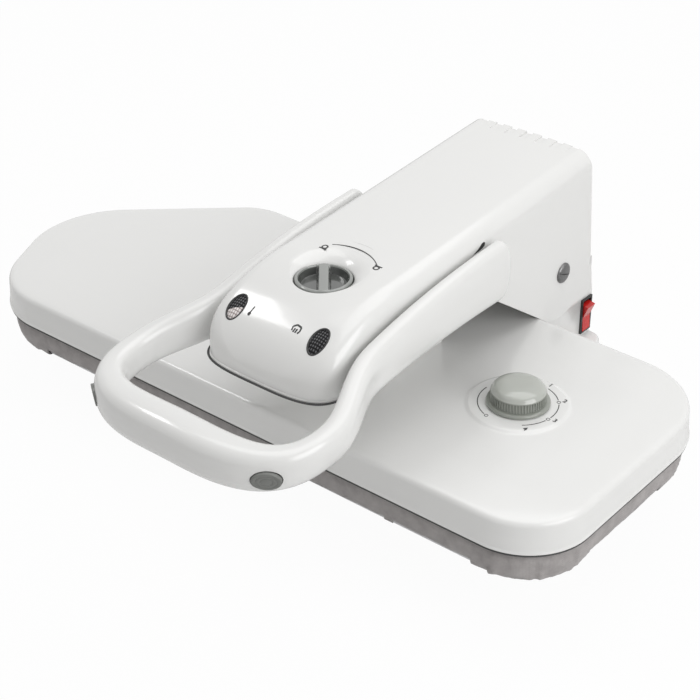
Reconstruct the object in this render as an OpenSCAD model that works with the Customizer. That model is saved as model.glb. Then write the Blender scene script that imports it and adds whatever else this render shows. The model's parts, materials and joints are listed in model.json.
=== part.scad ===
// Steam ironing press: a heated head on a hinged arm closes on a padded board.
// Working frame, before the last shift: X = 0 is the arm's middle plane, Y = 0 is the front edge
// of the head's cover, Z = 0 is the table. The handle points to -Y and the hinge column is at +Y.

/* [Stack from the table up] */
// Height of the rubber feet
foot_h = 6; // [4:0.5:10]
// Height of the base pan above the feet
pan_h = 37; // [30:1:50]
// Air between the base pan and the board's rim
board_lift = 3; // [2.5:0.5:6]
// Depth of the board tray's rim
rim_h = 14; // [10:1:20]
// Thickness of the foam pad at its crown
pad_t = 10; // [8:1:16]
// Thickness of the board's fabric
fabric_t = 2; // [1.5:0.5:3]
// Clearance between soft pieces and their neighbours
soft_gap = 0.3; // [0.2:0.1:0.5]
// Air between the closed heating plate and the fabric
press_gap = 0.4; // [0.3:0.1:1]
// How far the heating plate stands below the cover's edge
plate_drop = 2; // [1:0.5:4]

/* [Head outline] */
// Distance from the arm's middle to the right edge of the head
head_right = 249; // [235:1:270]
// Distance from the arm's middle to the tip of the nose at the left
head_left = 412; // [402:1:430]
// Depth of the head at its left part
head_depth_left = 277; // [270:1:285]
// Depth of the head at its right part
head_depth_right = 265; // [260:1:272]
// Corner radius at the front right
corner_front = 58; // [50:1:70]
// Corner radius at the rear right
corner_rear = 76; // [60:1:85]
// Radius of the shoulder at the rear left
shoulder_rear = 58; // [50:1:70]
// Radius of the curve at the front left
shoulder_front = 80; // [70:1:90]
// Radius of the nose's tip
nose_r = 90; // [80:1:95]

/* [Head cover and plate] */
// Height of the cover's side band and rolled edge
cover_h = 27; // [24:1:32]
// Rise of the cover's top from its rolled edge to the middle
cover_crown = 2; // [1:0.5:4]
// Wall of the moulded covers
wall = 2.5; // [2:0.25:3]
// Thickness of the heating plate
plate_t = 5; // [4:0.5:7]
// Margin between the cover's edge and the heating plate
plate_margin = 7; // [6:0.5:9]
// Diameter of a steam hole in the heating plate
steam_hole_d = 3.2; // [2:0.2:5]
// Steam holes along each of the two rows
steam_holes = 11; // [6:1:14]
// Diameter of the heating element's tube
element_d = 8; // [6:0.5:9]

/* [Arm] */
// Outer width of the arm
arm_w = 130; // [128:1:140]
// Reach of the arm's nose in front of the head's edge
arm_reach = 34; // [29:1:39]
// Height of the arm's bottom edge above the cover's edge
arm_lift = 84; // [80:1:90]
// Height of the nose curve above its lip
brow_h = 61; // [56:1:64]
// Length of the nose curve along the arm
brow_l = 109; // [101:1:117]
// Rise of the arm's top per unit of length behind the nose curve
arm_slope = 0.07; // [0.04:0.01:0.09]
// Radius of the arm's long shoulders
arm_shoulder = 16; // [12:1:20]
// Reach of the arm's top edge behind the hinge axis
arm_tail = 35; // [31:1:41]
// Number of vent notches over the rear edge
vents = 7; // [5:1:8]

/* [Hinge] */
// Distance of the hinge axis behind the head's deepest point
hinge_set = 20; // [18:0.5:23]
// Height of the hinge axis above the cover's edge
hinge_z = 59.5; // [58:0.5:61]
// Radius of the cheek round the hinge axis
cheek_r = 45.5; // [44:0.25:45.5]
// Diameter of the hinge shaft
shaft_d = 12; // [10:1:14]
// Air between the column and each cheek of the arm
cheek_gap = 4; // [3.5:0.5:6]
// Radius of the column's hood round the hinge axis
hood_r = 38; // [38:0.5:39]
// Running clearance of shafts in their bores, on the radius
run_gap = 0.05; // [0.02:0.01:0.08]

/* [Handle] */
// Distance of the handle's front bar in front of the head's edge
handle_reach = 124; // [116:1:132]
// Air between the arm and each side of the handle
handle_gap = 2.5; // [2:0.5:5]
// How far each side of the handle swings out from the arm to its front corner
handle_flare = 24; // [19:1:27]
// Width of the handle's arms
grip_w = 17; // [16:1:20]
// Height of the handle's arms at the rear
grip_rear_h = 55; // [49:1:58]
// Height of the front bar
grip_front_h = 37; // [33:1:41]
// Depth of the front bar, front to rear
grip_front_w = 33; // [29:1:35]
// Height of the front bar's middle above the cover's edge
grip_z = 85; // [79:1:91]
// Rise of the handle's arms from the front bar to the rear
grip_rise = 32; // [27:1:35]
// Diameter of the steel core in the handle
core_d = 12; // [10:0.5:13]

/* [Controls] */
// Position of the thermostat along X
knob_x = 129; // [120:1:140]
// Position of the thermostat along Y
knob_y = 137; // [130:1:142]
// Diameter of the knob's foot
knob_d = 53; // [48:1:56]
// Height of the knob
knob_h = 18; // [16:1:22]
// Number of grip ribs round the knob
knob_ribs = 60; // [40:4:72]
// Radius of the raised dial round the knob
dial_r = 43.5; // [40:0.5:46]
// Diameter of the filler cap
cap_d = 46; // [42:1:48]
// Position of the filler cap along the arm
cap_y = 48; // [45:1:52]
// Long axis of an indicator window
window_l = 22; // [18:0.5:24]
// Short axis of an indicator window
window_w = 13; // [10:0.5:14]
// Distance of each indicator window from the middle plane
window_x = 42; // [38:0.5:44]
// Length of a steam button
button_l = 26; // [22:1:28]
// Height of a steam button
button_w = 19; // [16:1:21]

/* [Base] */
// Left side of the base pan
pan_left = 235; // [220:1:250]
// Right side of the base pan
pan_right = 165; // [150:1:180]
// Front of the base pan behind the head's front edge
pan_front = 62; // [50:1:75]
// Reach of the base pan behind the hinge axis
pan_tail = 86; // [84:0.5:93]
// Reach of the hinge column behind the hinge axis
column_tail = 78; // [76:0.5:80]

/* [Hidden] */
$fn = 48;

// Levels, from the table up
pan_top = foot_h + pan_h;
board_z = pan_top + board_lift;
tray_top = board_z + rim_h;
pad_z = tray_top + soft_gap;
pad_top = pad_z + pad_t;
fabric_z = pad_top + soft_gap;
fabric_top = fabric_z + fabric_t;
plate_z = fabric_top + press_gap;
edge_z = plate_z + plate_drop;
plate_top = plate_z + plate_t;
cover_top = edge_z + cover_h + cover_crown;
arm_z = edge_z + arm_lift;

// Hinge and the faces that follow it
head_deepest = max(head_depth_left, head_depth_right);
hinge_y = head_deepest + hinge_set;
pivot = [hinge_y, edge_z + hinge_z];
arm_rear = hinge_y + arm_tail;
column_front = head_deepest;
column_rear = hinge_y + column_tail;
pan_rear = hinge_y + pan_tail;

// The object's box is centred on the origin and stands on Z = 0
grip_front = -handle_reach - grip_front_w / 2;
mid = [(head_right - head_left) / 2, (pan_rear + grip_front) / 2, 0];
module at_origin() { translate(-mid) children(); }

// Sheet, screw and fit sizes
tray_t = 1.5;
steel_t = 2;
seat_gap = 0.3;
screw_d = 4;
screw_gap = 0.1;
slot_w = 1;
cut = 1;
far_cut = 60;

// A convex outline is the skin round a few circles [x, y, r], walked by the direction of its normal.
// Its inset copies keep the same centres, so walls and clearances stay even.
function reach(c, a) = c[0] * cos(a) + c[1] * sin(a) + c[2];
function outermost(cs, a) = let (h = [for (c = cs) reach(c, a)]) search(max(h), h)[0];
function rim_point(cs, a, d) = let (c = cs[outermost(cs, a)])
    [c[0] + (c[2] - d) * cos(a), c[1] + (c[2] - d) * sin(a)];
function outline(cs, d, n) = [for (i = [0:n - 1]) rim_point(cs, 360 * i / n, d)];
function lifted(pts, z) = [for (p = pts) [p[0], p[1], z]];
function rings(cs, profile, n) = [for (q = profile) lifted(outline(cs, q[0], n), q[1])];
function reversed(v) = [for (i = [len(v) - 1:-1:0]) v[i]];
function unit(v) = v / norm(v);

// Skin over rings of equal count, closed by a flat face at each end
module skin(rs) {
    n = len(rs[0]);
    m = len(rs);
    sides = [for (j = [0:m - 2]) for (i = [0:n - 1])
        let (a = j * n + i, b = j * n + (i + 1) % n)
        each [[a, a + n, b + n], [a, b + n, b]]];
    ends = [[for (i = [0:n - 1]) i], [for (i = [n - 1:-1:0]) (m - 1) * n + i]];
    polyhedron([for (r = rs) each r], concat(sides, ends), convexity = 8);
}
// Open shell: the inner profile from its top down, then the outer profile from its foot up
module shell(cs, outer, inner, n) {
    skin(concat(rings(cs, reversed(inner), n), rings(cs, outer, n)));
}
module plan(cs, d, n = 72) { polygon(outline(cs, d, n)); }
// Extrudes a side profile, drawn in (Y, Z), along X and centres it
module across(w) {
    translate([-w / 2, 0, 0]) rotate([90, 0, 90]) linear_extrude(w) children();
}
module rod(r, w) { rotate([0, 90, 0]) cylinder(r = r, h = w, center = true); }
module at(p) { translate([0, p[0], p[1]]) children(); }
module each_at(ps, z) { for (p = ps) translate([p[0], p[1], z]) children(); }
module mirrored() {
    children();
    mirror([1, 0, 0]) children();
}
// Round-ended bar between two points of the plane
module strap(a, b, ra, rb) { polygon(outline([[a[0], a[1], ra], [b[0], b[1], rb]], 0, 48)); }
module oval(l, w) {
    polygon([for (i = [0:31]) [w / 2 * cos(360 * i / 32), l / 2 * sin(360 * i / 32)]]);
}
// Slot for a screwdriver, cut down to the given depth from z = 0
module driver_slot(l, depth) { translate([-l / 2, -slot_w / 2, -depth]) cube([l, slot_w, depth + cut]); }
// Tube along a path, as rings of n points square to it
function tube_ring(path, i, r, n) = let (a = path[max(i - 1, 0)], b = path[min(i + 1, len(path) - 1)],
    t = unit(b - a), s = unit(cross(t, abs(t[0]) > 0.9 ? [0, 0, 1] : [1, 0, 0])), u = cross(s, t))
    [for (k = [0:n - 1]) path[i] + r * (cos(360 * k / n) * s + sin(360 * k / n) * u)];
module tube(path, r, n) { skin(reversed([for (i = [0:len(path) - 1]) tube_ring(path, i, r, n)])); }

// Outlines of the head and the base pan
nose_mid = 118;
front_set = 17;
shoulder_x = 157;
head = [[nose_r - head_left, nose_mid, nose_r],
    [front_set + shoulder_front - head_left, shoulder_front, shoulder_front],
    [head_right - corner_front, corner_front, corner_front],
    [head_right - corner_rear, head_depth_right - corner_rear, corner_rear],
    [shoulder_x - head_left, head_depth_left - shoulder_rear, shoulder_rear]];
pan_r = 40;
pan = [for (x = [-pan_left + pan_r, pan_right - pan_r])
    for (y = [pan_front + pan_r, pan_rear - pan_r]) [x, y, pan_r]];
board_inset = 10;

// Positions that several pieces share
post_xy = [[67 - head_left, 110], [-200, 32], [-200, head_depth_left - 37], [60, 32],
    [head_right - 46, 70], [head_right - 61, head_depth_right - 75]];
board_xy = [[-190, 105], [-190, head_depth_left - 37], [-60, 105], [80, 105], [120, 222], [20, 200]];
base_set = 22;
base_mid = [-105, 40];
base_xy = [for (y = [pan_front + base_set, pan_rear - base_set])
    each [[base_set - pan_left, y], [base_mid[0], y], [pan_right - base_set, y]]];
feet_set = [40, 45];
feet_xy = [for (x = [feet_set[0] - pan_left, pan_right - feet_set[0]])
    for (y = [pan_front + feet_set[1], pan_rear - feet_set[1]]) [x, y]];
boss_h = 12.7;
boss_r = 5;
shield_z = plate_top + boss_h + seat_gap;
shield_t = 0.8;
post_z = shield_z + shield_t + seat_gap;
bracket_y = [105, 165];
neck_x = 22;
neck_edge = 12;
bracket_half = 15;
bracket_gap = 2;

// Handle linkage: the crank on the handle's shaft, and the pin on the column that its link pulls on
grip_rear = 125;
grip_pivot = [hinge_y - grip_rear, edge_z + grip_z + grip_rise - 2];
grip_shaft_d = 10;
crank_l = 23;
crank_turn = -60;
crank_p = grip_pivot + crank_l * [cos(crank_turn), sin(crank_turn)];
crank_r = 6.5;
crank_t = 3;
crank_gap = 0.7;
crank_pin_r = 3;
catch_set = [-14, 20];
catch_p = pivot + catch_set;
catch_r = 4;
catch_gap = 2.5;
link_t = 5;

// Arm profile: an elliptic brow, then a straight rising top; d insets it for walls
brow_y = brow_l - arm_reach;
lip_z = arm_z + 2;
nose_y = 5;
nose_power = 3.6;
arm_crown = 2;
tail_y = hinge_y - 107;
tail_z = arm_z - 4;
function arm_top(y, d) = let (u = (brow_y - y) / (brow_l - d))
    y < brow_y ? lip_z + (brow_h - d) * sqrt(max(0, 1 - u * u))
    : lip_z + brow_h - d + arm_slope * (y - brow_y);
function nose_share(u) = pow(max(0, 1 - pow(u, nose_power)), 1 / nose_power);
function arm_half(y, d) = let (u = (nose_y - y) / (nose_y + arm_reach - d))
    (arm_w / 2 - d) * (y < nose_y ? nose_share(u) : 1);
function arc(x, z, r, from, to) = [for (a = [from:-18:to]) [x + r * cos(a), z + r * sin(a)]];
function arm_section(w, z, r, low) = let (e = z - arm_crown * pow((w - r) / arm_w * 2, 2))
    concat([[-w, low]], arc(r - w, e - r, r, 180, 90),
        [for (k = [-0.6, 0, 0.6]) [k * (w - r), z - (z - e) * k * k]],
        arc(w - r, e - r, r, 90, 0), [[w, low]]);
function arm_ring(y, d, low) = let (w = arm_half(y, d), z = arm_top(y, d),
    r = min(arm_shoulder - d, w * 0.8, (z - low) * 0.8))
    [for (p = arm_section(w, z, r, low)) [p[0], y, p[1]]];
nose_steps = [0.995, 0.97, 0.92, 0.84, 0.73, 0.6, 0.45, 0.25, 0];
function arm_stations(d) = concat([for (u = nose_steps) nose_y - u * (nose_y + arm_reach - d)],
    [16, 30, 50, brow_y, 130, 200, 260, arm_rear + 16]);
module arm_loft(d, low) { skin([for (y = arm_stations(d)) arm_ring(y, d, low)]); }
// Level just under the arm's roof at its side walls, where the shoulder starts to turn in
function under_roof(y) = arm_top(y, wall) - arm_crown - arm_shoulder + wall - seat_gap;
// Point where a line from p touches a circle, on the side s
function touch(p, c, r, s) = let (v = p - c, a = atan2(v[1], v[0]), b = acos(r / norm(v)))
    c + r * [cos(a + s * b), sin(a + s * b)];
rear_top = [arm_rear, arm_top(arm_rear, 0)];
rear_low = touch(rear_top, pivot, cheek_r, -1);
rear_up = rear_top + (rear_top - rear_low);
module arm_side() {
    translate(pivot) circle(cheek_r, $fn = 96);
    polygon([[-far_cut, arm_z], [0, arm_z], [tail_y, tail_z], touch([tail_y, tail_z], pivot, cheek_r, 1),
        pivot, rear_low, rear_up, [-far_cut, rear_up[1]]]);
}

// Base pan: moulded tray, open below, with posts for the board and bosses for the bottom plate
plate_steel = 1.2;
post_r = 8;
base_boss_r = 4.5;
column_w = arm_w - 2 * (wall + cheek_gap);
column_lip = 10;
module base_pan() at_origin() color("whitesmoke") difference() {
    union() {
        shell(pan, [[0, foot_h], [0, pan_top - 9], [1.2, pan_top - 4], [4, pan_top - 1], [8, pan_top]],
            [[wall, foot_h], [wall, pan_top - 10], [wall + 1.5, pan_top - 5.5],
            [wall + 4, pan_top - wall - 0.6], [wall + 7, pan_top - wall]], 60);
        each_at(board_xy, pan_top - wall / 2)
            cylinder(r = post_r, h = tray_top - tray_t - pan_top + wall / 2);
        each_at(base_xy, foot_h + plate_steel) cylinder(r = base_boss_r, h = pan_h - plate_steel - wall / 2);
    }
    each_at(board_xy, pan_top - wall - cut) cylinder(r = screw_d / 2 + run_gap, h = tray_top);
    each_at(base_xy, foot_h) cylinder(r = screw_d / 2 + run_gap, h = 20);
    translate([column_lip - column_w / 2, column_front + 7, pan_top - 6])
        cube([column_w - 2 * column_lip, column_rear - column_front - 16, 12]);
}

// Bottom plate: pressed steel with air slots, closes the pan
air_slots = 8;
air_pitch = 22;
air_slot = [8, 70];
module base_plate() at_origin() color("silver")
    translate([0, 0, foot_h]) linear_extrude(plate_steel) difference() {
        plan(pan, wall + seat_gap, 60);
        for (p = base_xy) translate(p) circle(screw_d / 2 + screw_gap);
        for (p = feet_xy) translate(p) circle(3);
        for (i = [0:air_slots - 1])
            translate([-110 + i * air_pitch, pan_front + 88]) square(air_slot);
    }

module rubber_feet() at_origin() color("dimgray") each_at(feet_xy, 0) {
    rotate_extrude() polygon([[0, 1.5], [5, 1.5], [6, 0], [11, 0], [12, 1], [13, foot_h], [0, foot_h]]);
    translate([0, 0, foot_h - cut]) cylinder(r = 2.9, h = 2.2);
}

screw_head_h = 2.2;
base_screw_l = 13.5;
module base_screws() at_origin() color("silver") each_at(base_xy, foot_h) difference() {
    union() {
        translate([0, 0, -screw_head_h])
            cylinder(r1 = 0.75 * screw_d, r2 = 0.9 * screw_d, h = screw_head_h);
        translate([0, 0, -0.5]) cylinder(r = screw_d / 2, h = base_screw_l + 0.5);
    }
    translate([0, 0, -screw_head_h]) mirror([0, 0, 1]) driver_slot(2 * screw_d, 0.8);
}

// Column cover: a hood round the hinge with a sloping back, cut for the toggle link and the switch
column_back_r = 10;
column_back_z = edge_z + 42;
link_slot = [2 * (link_t / 2 + 3), 58, 40];
module column_side(t) {
    low = pan_top - (t > 0 ? cut : 0);
    polygon(outline([[pivot[0], pivot[1], hood_r - t],
        [column_rear - column_back_r, column_back_z, column_back_r - t],
        [column_rear - t, low, 0], [pivot[0], low, 0]], 0, 96));
    polygon([[column_front + t, low], [column_front + t, pivot[1] - hood_r / 2],
        [pivot[0] + 1, pivot[1] - hood_r / 2], [pivot[0] + 1, low]]);
}
switch_y = hinge_y + 54.2;
switch_z = edge_z - 10;
switch_l = 36;
switch_w = 16.5;
gland_x = -20;
gland_z = pan_top + 22;
gland_r = 7;
module gland_place() translate([gland_x, column_rear, gland_z]) rotate([-90, 0, 0]) children();
module column_cover() at_origin() color("whitesmoke") difference() {
    across(column_w) column_side(0);
    across(column_w - 2 * wall) column_side(wall);
    at(pivot) rod(shaft_d / 2 + 0.6, column_w + 4);
    translate([-link_slot[0] / 2, pivot[0] - 57, catch_p[1] - 8]) cube(link_slot);
    translate([column_w / 2 - 6, switch_y - switch_w / 2 + 1, switch_z - switch_l / 2 + 1])
        cube([12, switch_w - 2, switch_l - 2]);
    gland_place() cylinder(r = gland_r, h = 12, center = true);
}

// Column bracket: two steel cheeks on a foot, carrying the hinge bushes and the catch pin
bracket_x = column_w / 2 - wall - 11;
bracket_t = 4;
bracket_foot = foot_h + plate_steel;
bush_t = 2;
foot_t = 3;
bracket_rear = pivot[0] + 65;
module column_bracket() at_origin() color("slategray") {
    for (s = [-1, 1]) translate([s * (bracket_x - bracket_t / 2), 0, 0]) difference() {
        across(bracket_t) {
            strap(pivot, catch_p, 16, 9);
            polygon([[pivot[0] - 7, bracket_foot], [pivot[0] - 16, pivot[1]], [pivot[0] + 16, pivot[1]],
                [pivot[0] + 39, edge_z + 15], [pivot[0] + 41, pan_top + 1],
                [bracket_rear - 2, pan_top - 15], [bracket_rear, bracket_foot]]);
        }
        at(pivot) rod(shaft_d / 2 + bush_t, bracket_t + 2);
        at(catch_p) rod(catch_r + run_gap, bracket_t + 2);
    }
    translate([bracket_t - bracket_x, pivot[0] - 7, bracket_foot])
        cube([2 * (bracket_x - bracket_t), 72, foot_t]);
    translate([bracket_t - bracket_x, bracket_rear - 6, bracket_foot + foot_t])
        cube([2 * (bracket_x - bracket_t), foot_t, 30]);
}

module hinge_bushes() at_origin() color("goldenrod") mirrored()
    translate([bracket_x, pivot[0], pivot[1]]) rotate([0, 90, 0]) difference() {
        union() {
            translate([0, 0, -bracket_t]) cylinder(r = shaft_d / 2 + bush_t - run_gap, h = bracket_t);
            cylinder(r = shaft_d / 2 + 2 * bush_t, h = 1.5);
        }
        translate([0, 0, -bracket_t - cut]) cylinder(r = shaft_d / 2 + run_gap, h = 2 * bracket_t);
    }

module catch_pin() at_origin() color("silver") at(catch_p) rod(catch_r, 2 * bracket_x + 3);

// Lift springs: wound round the hinge shaft, one tube each, with a straight leg against the bracket
spring_wire = 3;
spring_r = shaft_d / 2 + 4;
spring_turns = 5;
spring_x = 14.5;
spring_pitch = (bracket_x - bracket_t - spring_x - spring_wire / 2 - 2) / spring_turns;
spring_steps = 12;
spring_leg = 12;
// The leg leaves the coil where its line passes just under the catch pin
spring_end = atan2(-catch_set[0], catch_set[1])
    + asin((spring_r + catch_r + spring_wire / 2 + run_gap) / norm(catch_set));
function coil_point(i) = let (a = spring_end - 360 * spring_turns + 360 * i / spring_steps)
    [spring_x + spring_pitch * i / spring_steps, pivot[0] + spring_r * cos(a), pivot[1] + spring_r * sin(a)];
coil_end = coil_point(spring_steps * spring_turns);
coil_path = concat([for (i = [0:spring_steps * spring_turns]) coil_point(i)],
    [for (k = [1, 2]) coil_end + spring_leg * k * [0, -sin(spring_end), cos(spring_end)]]);
module lift_springs() at_origin() color("dimgray") mirrored() tube(coil_path, spring_wire / 2, 6);

// Board: perforated tray, foam pad and fabric cover, one above the other
tray_hole_x = [-300:40:200];
tray_hole_y = [65, 172];
tray_hole_r = 4;
module board_tray() at_origin() color("silver") difference() {
    shell(head, [[board_inset, board_z], [board_inset, tray_top - 2], [board_inset + 0.6, tray_top - 0.6],
        [board_inset + 2, tray_top]],
        [[board_inset + tray_t, board_z], [board_inset + tray_t, tray_top - tray_t - 1],
        [board_inset + tray_t + 1, tray_top - tray_t]], 72);
    each_at(board_xy, tray_top - 3) cylinder(r = screw_d / 2 + screw_gap, h = 6);
    each_at(board_xy, tray_top - 1) cylinder(r1 = 3.2, r2 = 4.2, h = 1.01);
    for (x = tray_hole_x) for (y = tray_hole_y)
        translate([x, y, tray_top - 3]) cylinder(r = tray_hole_r, h = 6);
}

module foam_pad() at_origin() color("khaki") skin(rings(head, [[board_inset + 1, pad_z],
    [board_inset - 0.4, pad_z + 0.22 * pad_t], [board_inset + 0.2, pad_z + 0.57 * pad_t],
    [board_inset + 2.5, pad_z + 0.83 * pad_t], [board_inset + 10, pad_z + 0.93 * pad_t],
    [board_inset + 35, pad_top]], 60));

module board_cover() at_origin() color("gray") shell(head,
    [[board_inset + 14, board_z - 1.5], [board_inset - 1, board_z - 1.8], [board_inset - 2.8, board_z],
    [board_inset - 3.8, board_z + 0.5 * rim_h], [board_inset - 4, tray_top],
    [board_inset - 3.6, tray_top + 0.6 * pad_t], [board_inset - 2, fabric_z - 0.5],
    [board_inset + 2, fabric_top - 0.8], [board_inset + 10, fabric_top - 0.4],
    [board_inset + 35, fabric_top]],
    [[board_inset + 14, board_z - soft_gap], [board_inset - soft_gap, board_z - soft_gap],
    [board_inset - soft_gap, tray_top], [board_inset - 0.7, pad_z + 0.2 * pad_t],
    [board_inset - 0.3, pad_z + 0.58 * pad_t], [board_inset + 2.2, pad_z + 0.87 * pad_t],
    [board_inset + 10, fabric_z - 0.65], [board_inset + 35, fabric_z]], 60);

module board_screws() at_origin() color("silver") each_at(board_xy, tray_top) difference() {
    union() {
        translate([0, 0, -1]) cylinder(r1 = 3.1, r2 = 4.1, h = 1);
        translate([0, 0, -13]) cylinder(r = screw_d / 2, h = 12.5);
    }
    driver_slot(2 * screw_d, 0.5);
}

// Rocker switch in its frame on the column's right side
switch_x = column_w / 2 - 10.5;
switch_deep = 12;
open_w = 12.6;
open_l = 32.6;
flange_t = 2;
flange_edge = 2.3;
module switch_frame(x, h, l, w) translate([x, switch_y, switch_z]) rotate([0, 90, 0])
    linear_extrude(h) difference() {
        square([l, w], center = true);
        square([open_l, open_w], center = true);
    }
module switch_bezel() at_origin() color("black") {
    switch_frame(column_w / 2, flange_t, switch_l, switch_w);
    switch_frame(column_w / 2 - wall, wall, switch_l - flange_edge, switch_w - flange_edge);
}
rocker_pin_r = 1.5;
module switch_body() at_origin() color("black") difference() {
    translate([switch_x - switch_deep, switch_y - open_w / 2 - 1.5, switch_z - open_l / 2 - 0.7])
        cube([column_w / 2 - wall - switch_x + switch_deep, open_w + 3, open_l + 1.4]);
    translate([switch_x - 8, switch_y - open_w / 2, switch_z - open_l / 2]) cube([40, open_w, open_l]);
    translate([switch_x, switch_y, switch_z]) rotate([90, 0, 0])
        cylinder(r = rocker_pin_r + run_gap, h = 17, center = true);
}
rocker_r = 20.5;
rocker_half = 41;
rocker_tilt = 9;
rocker_w = open_w - 0.4;
module rocker_switch() at_origin() color("red")
    translate([switch_x, switch_y, switch_z]) rotate([90, 0, 0]) {
        rotate(-rocker_tilt) translate([0, 0, -rocker_w / 2]) linear_extrude(rocker_w)
            polygon([[12.5, 0], rocker_r * [cos(rocker_half), sin(rocker_half)], [8, 14], [-4, 6],
            [-4, -6], [8, -14], rocker_r * [cos(rocker_half), -sin(rocker_half)]]);
        cylinder(r = rocker_pin_r, h = 15, center = true);
    }

// Cord inlet gland in the column's rear wall; the cord itself is not modelled
cord_hole_r = 4;
module cord_gland() at_origin() color("black") gland_place() difference() {
    union() {
        cylinder(r = gland_r + 3, h = 3.5);
        translate([0, 0, -wall - 1]) cylinder(r = gland_r - screw_gap, h = wall + 2);
        translate([0, 0, -wall - 4]) cylinder(r = gland_r + 3, h = 4);
    }
    translate([0, 0, -20]) cylinder(r = cord_hole_r, h = 40);
}

// Head cover with its rolled edge and the raised dial
dial_h = 2;
dial_edge = 0.8;
dial_top = cover_top + dial_h;
cover_in = cover_top - wall;
spindle_hole_r = 7;
module plate_cover() at_origin() color("whitesmoke") difference() {
    union() {
        shell(head, [[0, edge_z], [0.6, edge_z + 8], [1.5, edge_z + 0.7 * cover_h],
            [2.6, edge_z + 0.833 * cover_h], [5.2, edge_z + 0.933 * cover_h],
            [9, edge_z + 0.985 * cover_h], [16, edge_z + cover_h], [40, cover_top]],
            [[wall, edge_z], [wall + 0.6, edge_z + 8], [wall + 1.5, edge_z + 0.66 * cover_h],
            [wall + 4.6, edge_z + cover_h - wall - 1.5], [wall + 13, edge_z + cover_h - wall],
            [wall + 37.5, cover_in]], 96);
        translate([knob_x, knob_y, cover_in]) cylinder(r = dial_r, h = dial_top - cover_in - dial_edge);
        translate([knob_x, knob_y, dial_top - dial_edge])
            cylinder(r1 = dial_r, r2 = dial_r - 1.5 * dial_edge, h = dial_edge);
        for (p = post_xy) translate([p[0], p[1], post_z])
            cylinder(r = boss_r, h = cover_in - post_z + 0.5 - (p[1] < 40 ? 1 : 0));
    }
    each_at(post_xy, post_z - cut) cylinder(r = screw_d / 2 + screw_gap, h = 8);
    translate([knob_x, knob_y, cover_in - 2]) cylinder(r = spindle_hole_r, h = 10);
    translate([-bracket_half - bracket_gap, bracket_y[0] - bracket_gap, cover_in - 2])
        cube([2 * (bracket_half + bracket_gap), bracket_y[1] - bracket_y[0] + 2 * bracket_gap, 10]);
}

// Heating plate: cast, with two rows of steam holes, screw bosses and a steam inlet
inlet_h = 6;
inlet_r = 8;
inlet_y = (bracket_y[0] + bracket_y[1]) / 2 + 5;
pipe_r = 4;
hole_from = [112 - head_left, 100];
hole_to = [head_right - 79, 160];
module heating_plate() at_origin() color("silver") difference() {
    union() {
        skin(rings(head, [[plate_margin + 2, plate_z], [plate_margin + 0.5, plate_z + 0.6],
            [plate_margin, plate_z + 2], [plate_margin, plate_top]], 72));
        each_at(post_xy, plate_top - 1) cylinder(r = boss_r, h = boss_h + 1);
        translate([0, inlet_y, plate_top - 1]) cylinder(r = inlet_r, h = inlet_h + 1);
    }
    each_at(post_xy, plate_z - cut) cylinder(r = screw_d / 2 + screw_gap, h = 40);
    each_at(post_xy, plate_z - 0.01) cylinder(r1 = 4.2, r2 = 2.2, h = 2);
    for (i = [0:steam_holes - 1]) for (y = [hole_from[1], hole_to[1]])
        translate([hole_from[0] + i * (hole_to[0] - hole_from[0]) / (steam_holes - 1), y, plate_z - cut])
            cylinder(r = steam_hole_d / 2, h = plate_t - 1);
    translate([0, inlet_y, plate_top - 2]) cylinder(r = pipe_r + run_gap, h = 20);
}

module plate_screws() at_origin() color("silver") each_at(post_xy, plate_z) difference() {
    union() {
        translate([0, 0, 0.1]) cylinder(r1 = 4, r2 = 2, h = 2);
        translate([0, 0, 0.5]) cylinder(r = screw_d / 2, h = post_z - plate_z + 5);
    }
    translate([-slot_w / 2, -4, -cut]) cube([slot_w, 8, cut + 0.8]);
}

element_y = [70, 190];
element_x = [142 - head_left, head_right - 84];
module heating_element() at_origin() color("slategray") translate([0, 0, plate_top + element_d / 2]) {
    for (y = element_y) translate([element_x[0], y, 0]) rotate([0, 90, 0])
        cylinder(r = element_d / 2, h = element_x[1] - element_x[0]);
    translate([element_x[0], (element_y[0] + element_y[1]) / 2, 0]) rotate([0, 0, 90])
        rotate_extrude(angle = 180) translate([(element_y[1] - element_y[0]) / 2, 0]) circle(element_d / 2);
}

module heat_shield() at_origin() color("silver") translate([0, 0, shield_z])
    linear_extrude(shield_t) difference() {
        plan(head, plate_margin + 7);
        for (p = post_xy) translate(p) circle(screw_d / 2 + seat_gap);
        translate([-bracket_half - bracket_foot_w, bracket_y[0] - 3])
            square([2 * (bracket_half + bracket_foot_w), bracket_y[1] - bracket_y[0] + 6]);
        translate([knob_x, knob_y]) circle(6);
    }

spindle_r = 3;
spindle_top = dial_top + 12;
sensor_h = 12;
module thermostat() at_origin() color("darkgoldenrod") translate([knob_x, knob_y, plate_top]) {
    cylinder(r = 15, h = sensor_h);
    translate([0, 0, sensor_h - cut]) cylinder(r = 5, h = 4);
    translate([0, 0, sensor_h + 2]) cylinder(r = spindle_r, h = spindle_top - plate_top - sensor_h - 2);
}

cutout_h = 8;
module thermal_cutout() at_origin() color("wheat") translate([-100, 130, plate_top]) difference() {
    union() {
        cylinder(r = 8, h = cutout_h);
        for (s = [-1, 1]) translate([s * 5 - 1.5, -0.4, 0]) cube([3, 0.8, 1.5 * cutout_h]);
    }
    translate([0, 0, cutout_h - cut]) cylinder(r = 2, h = 3);
}

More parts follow.
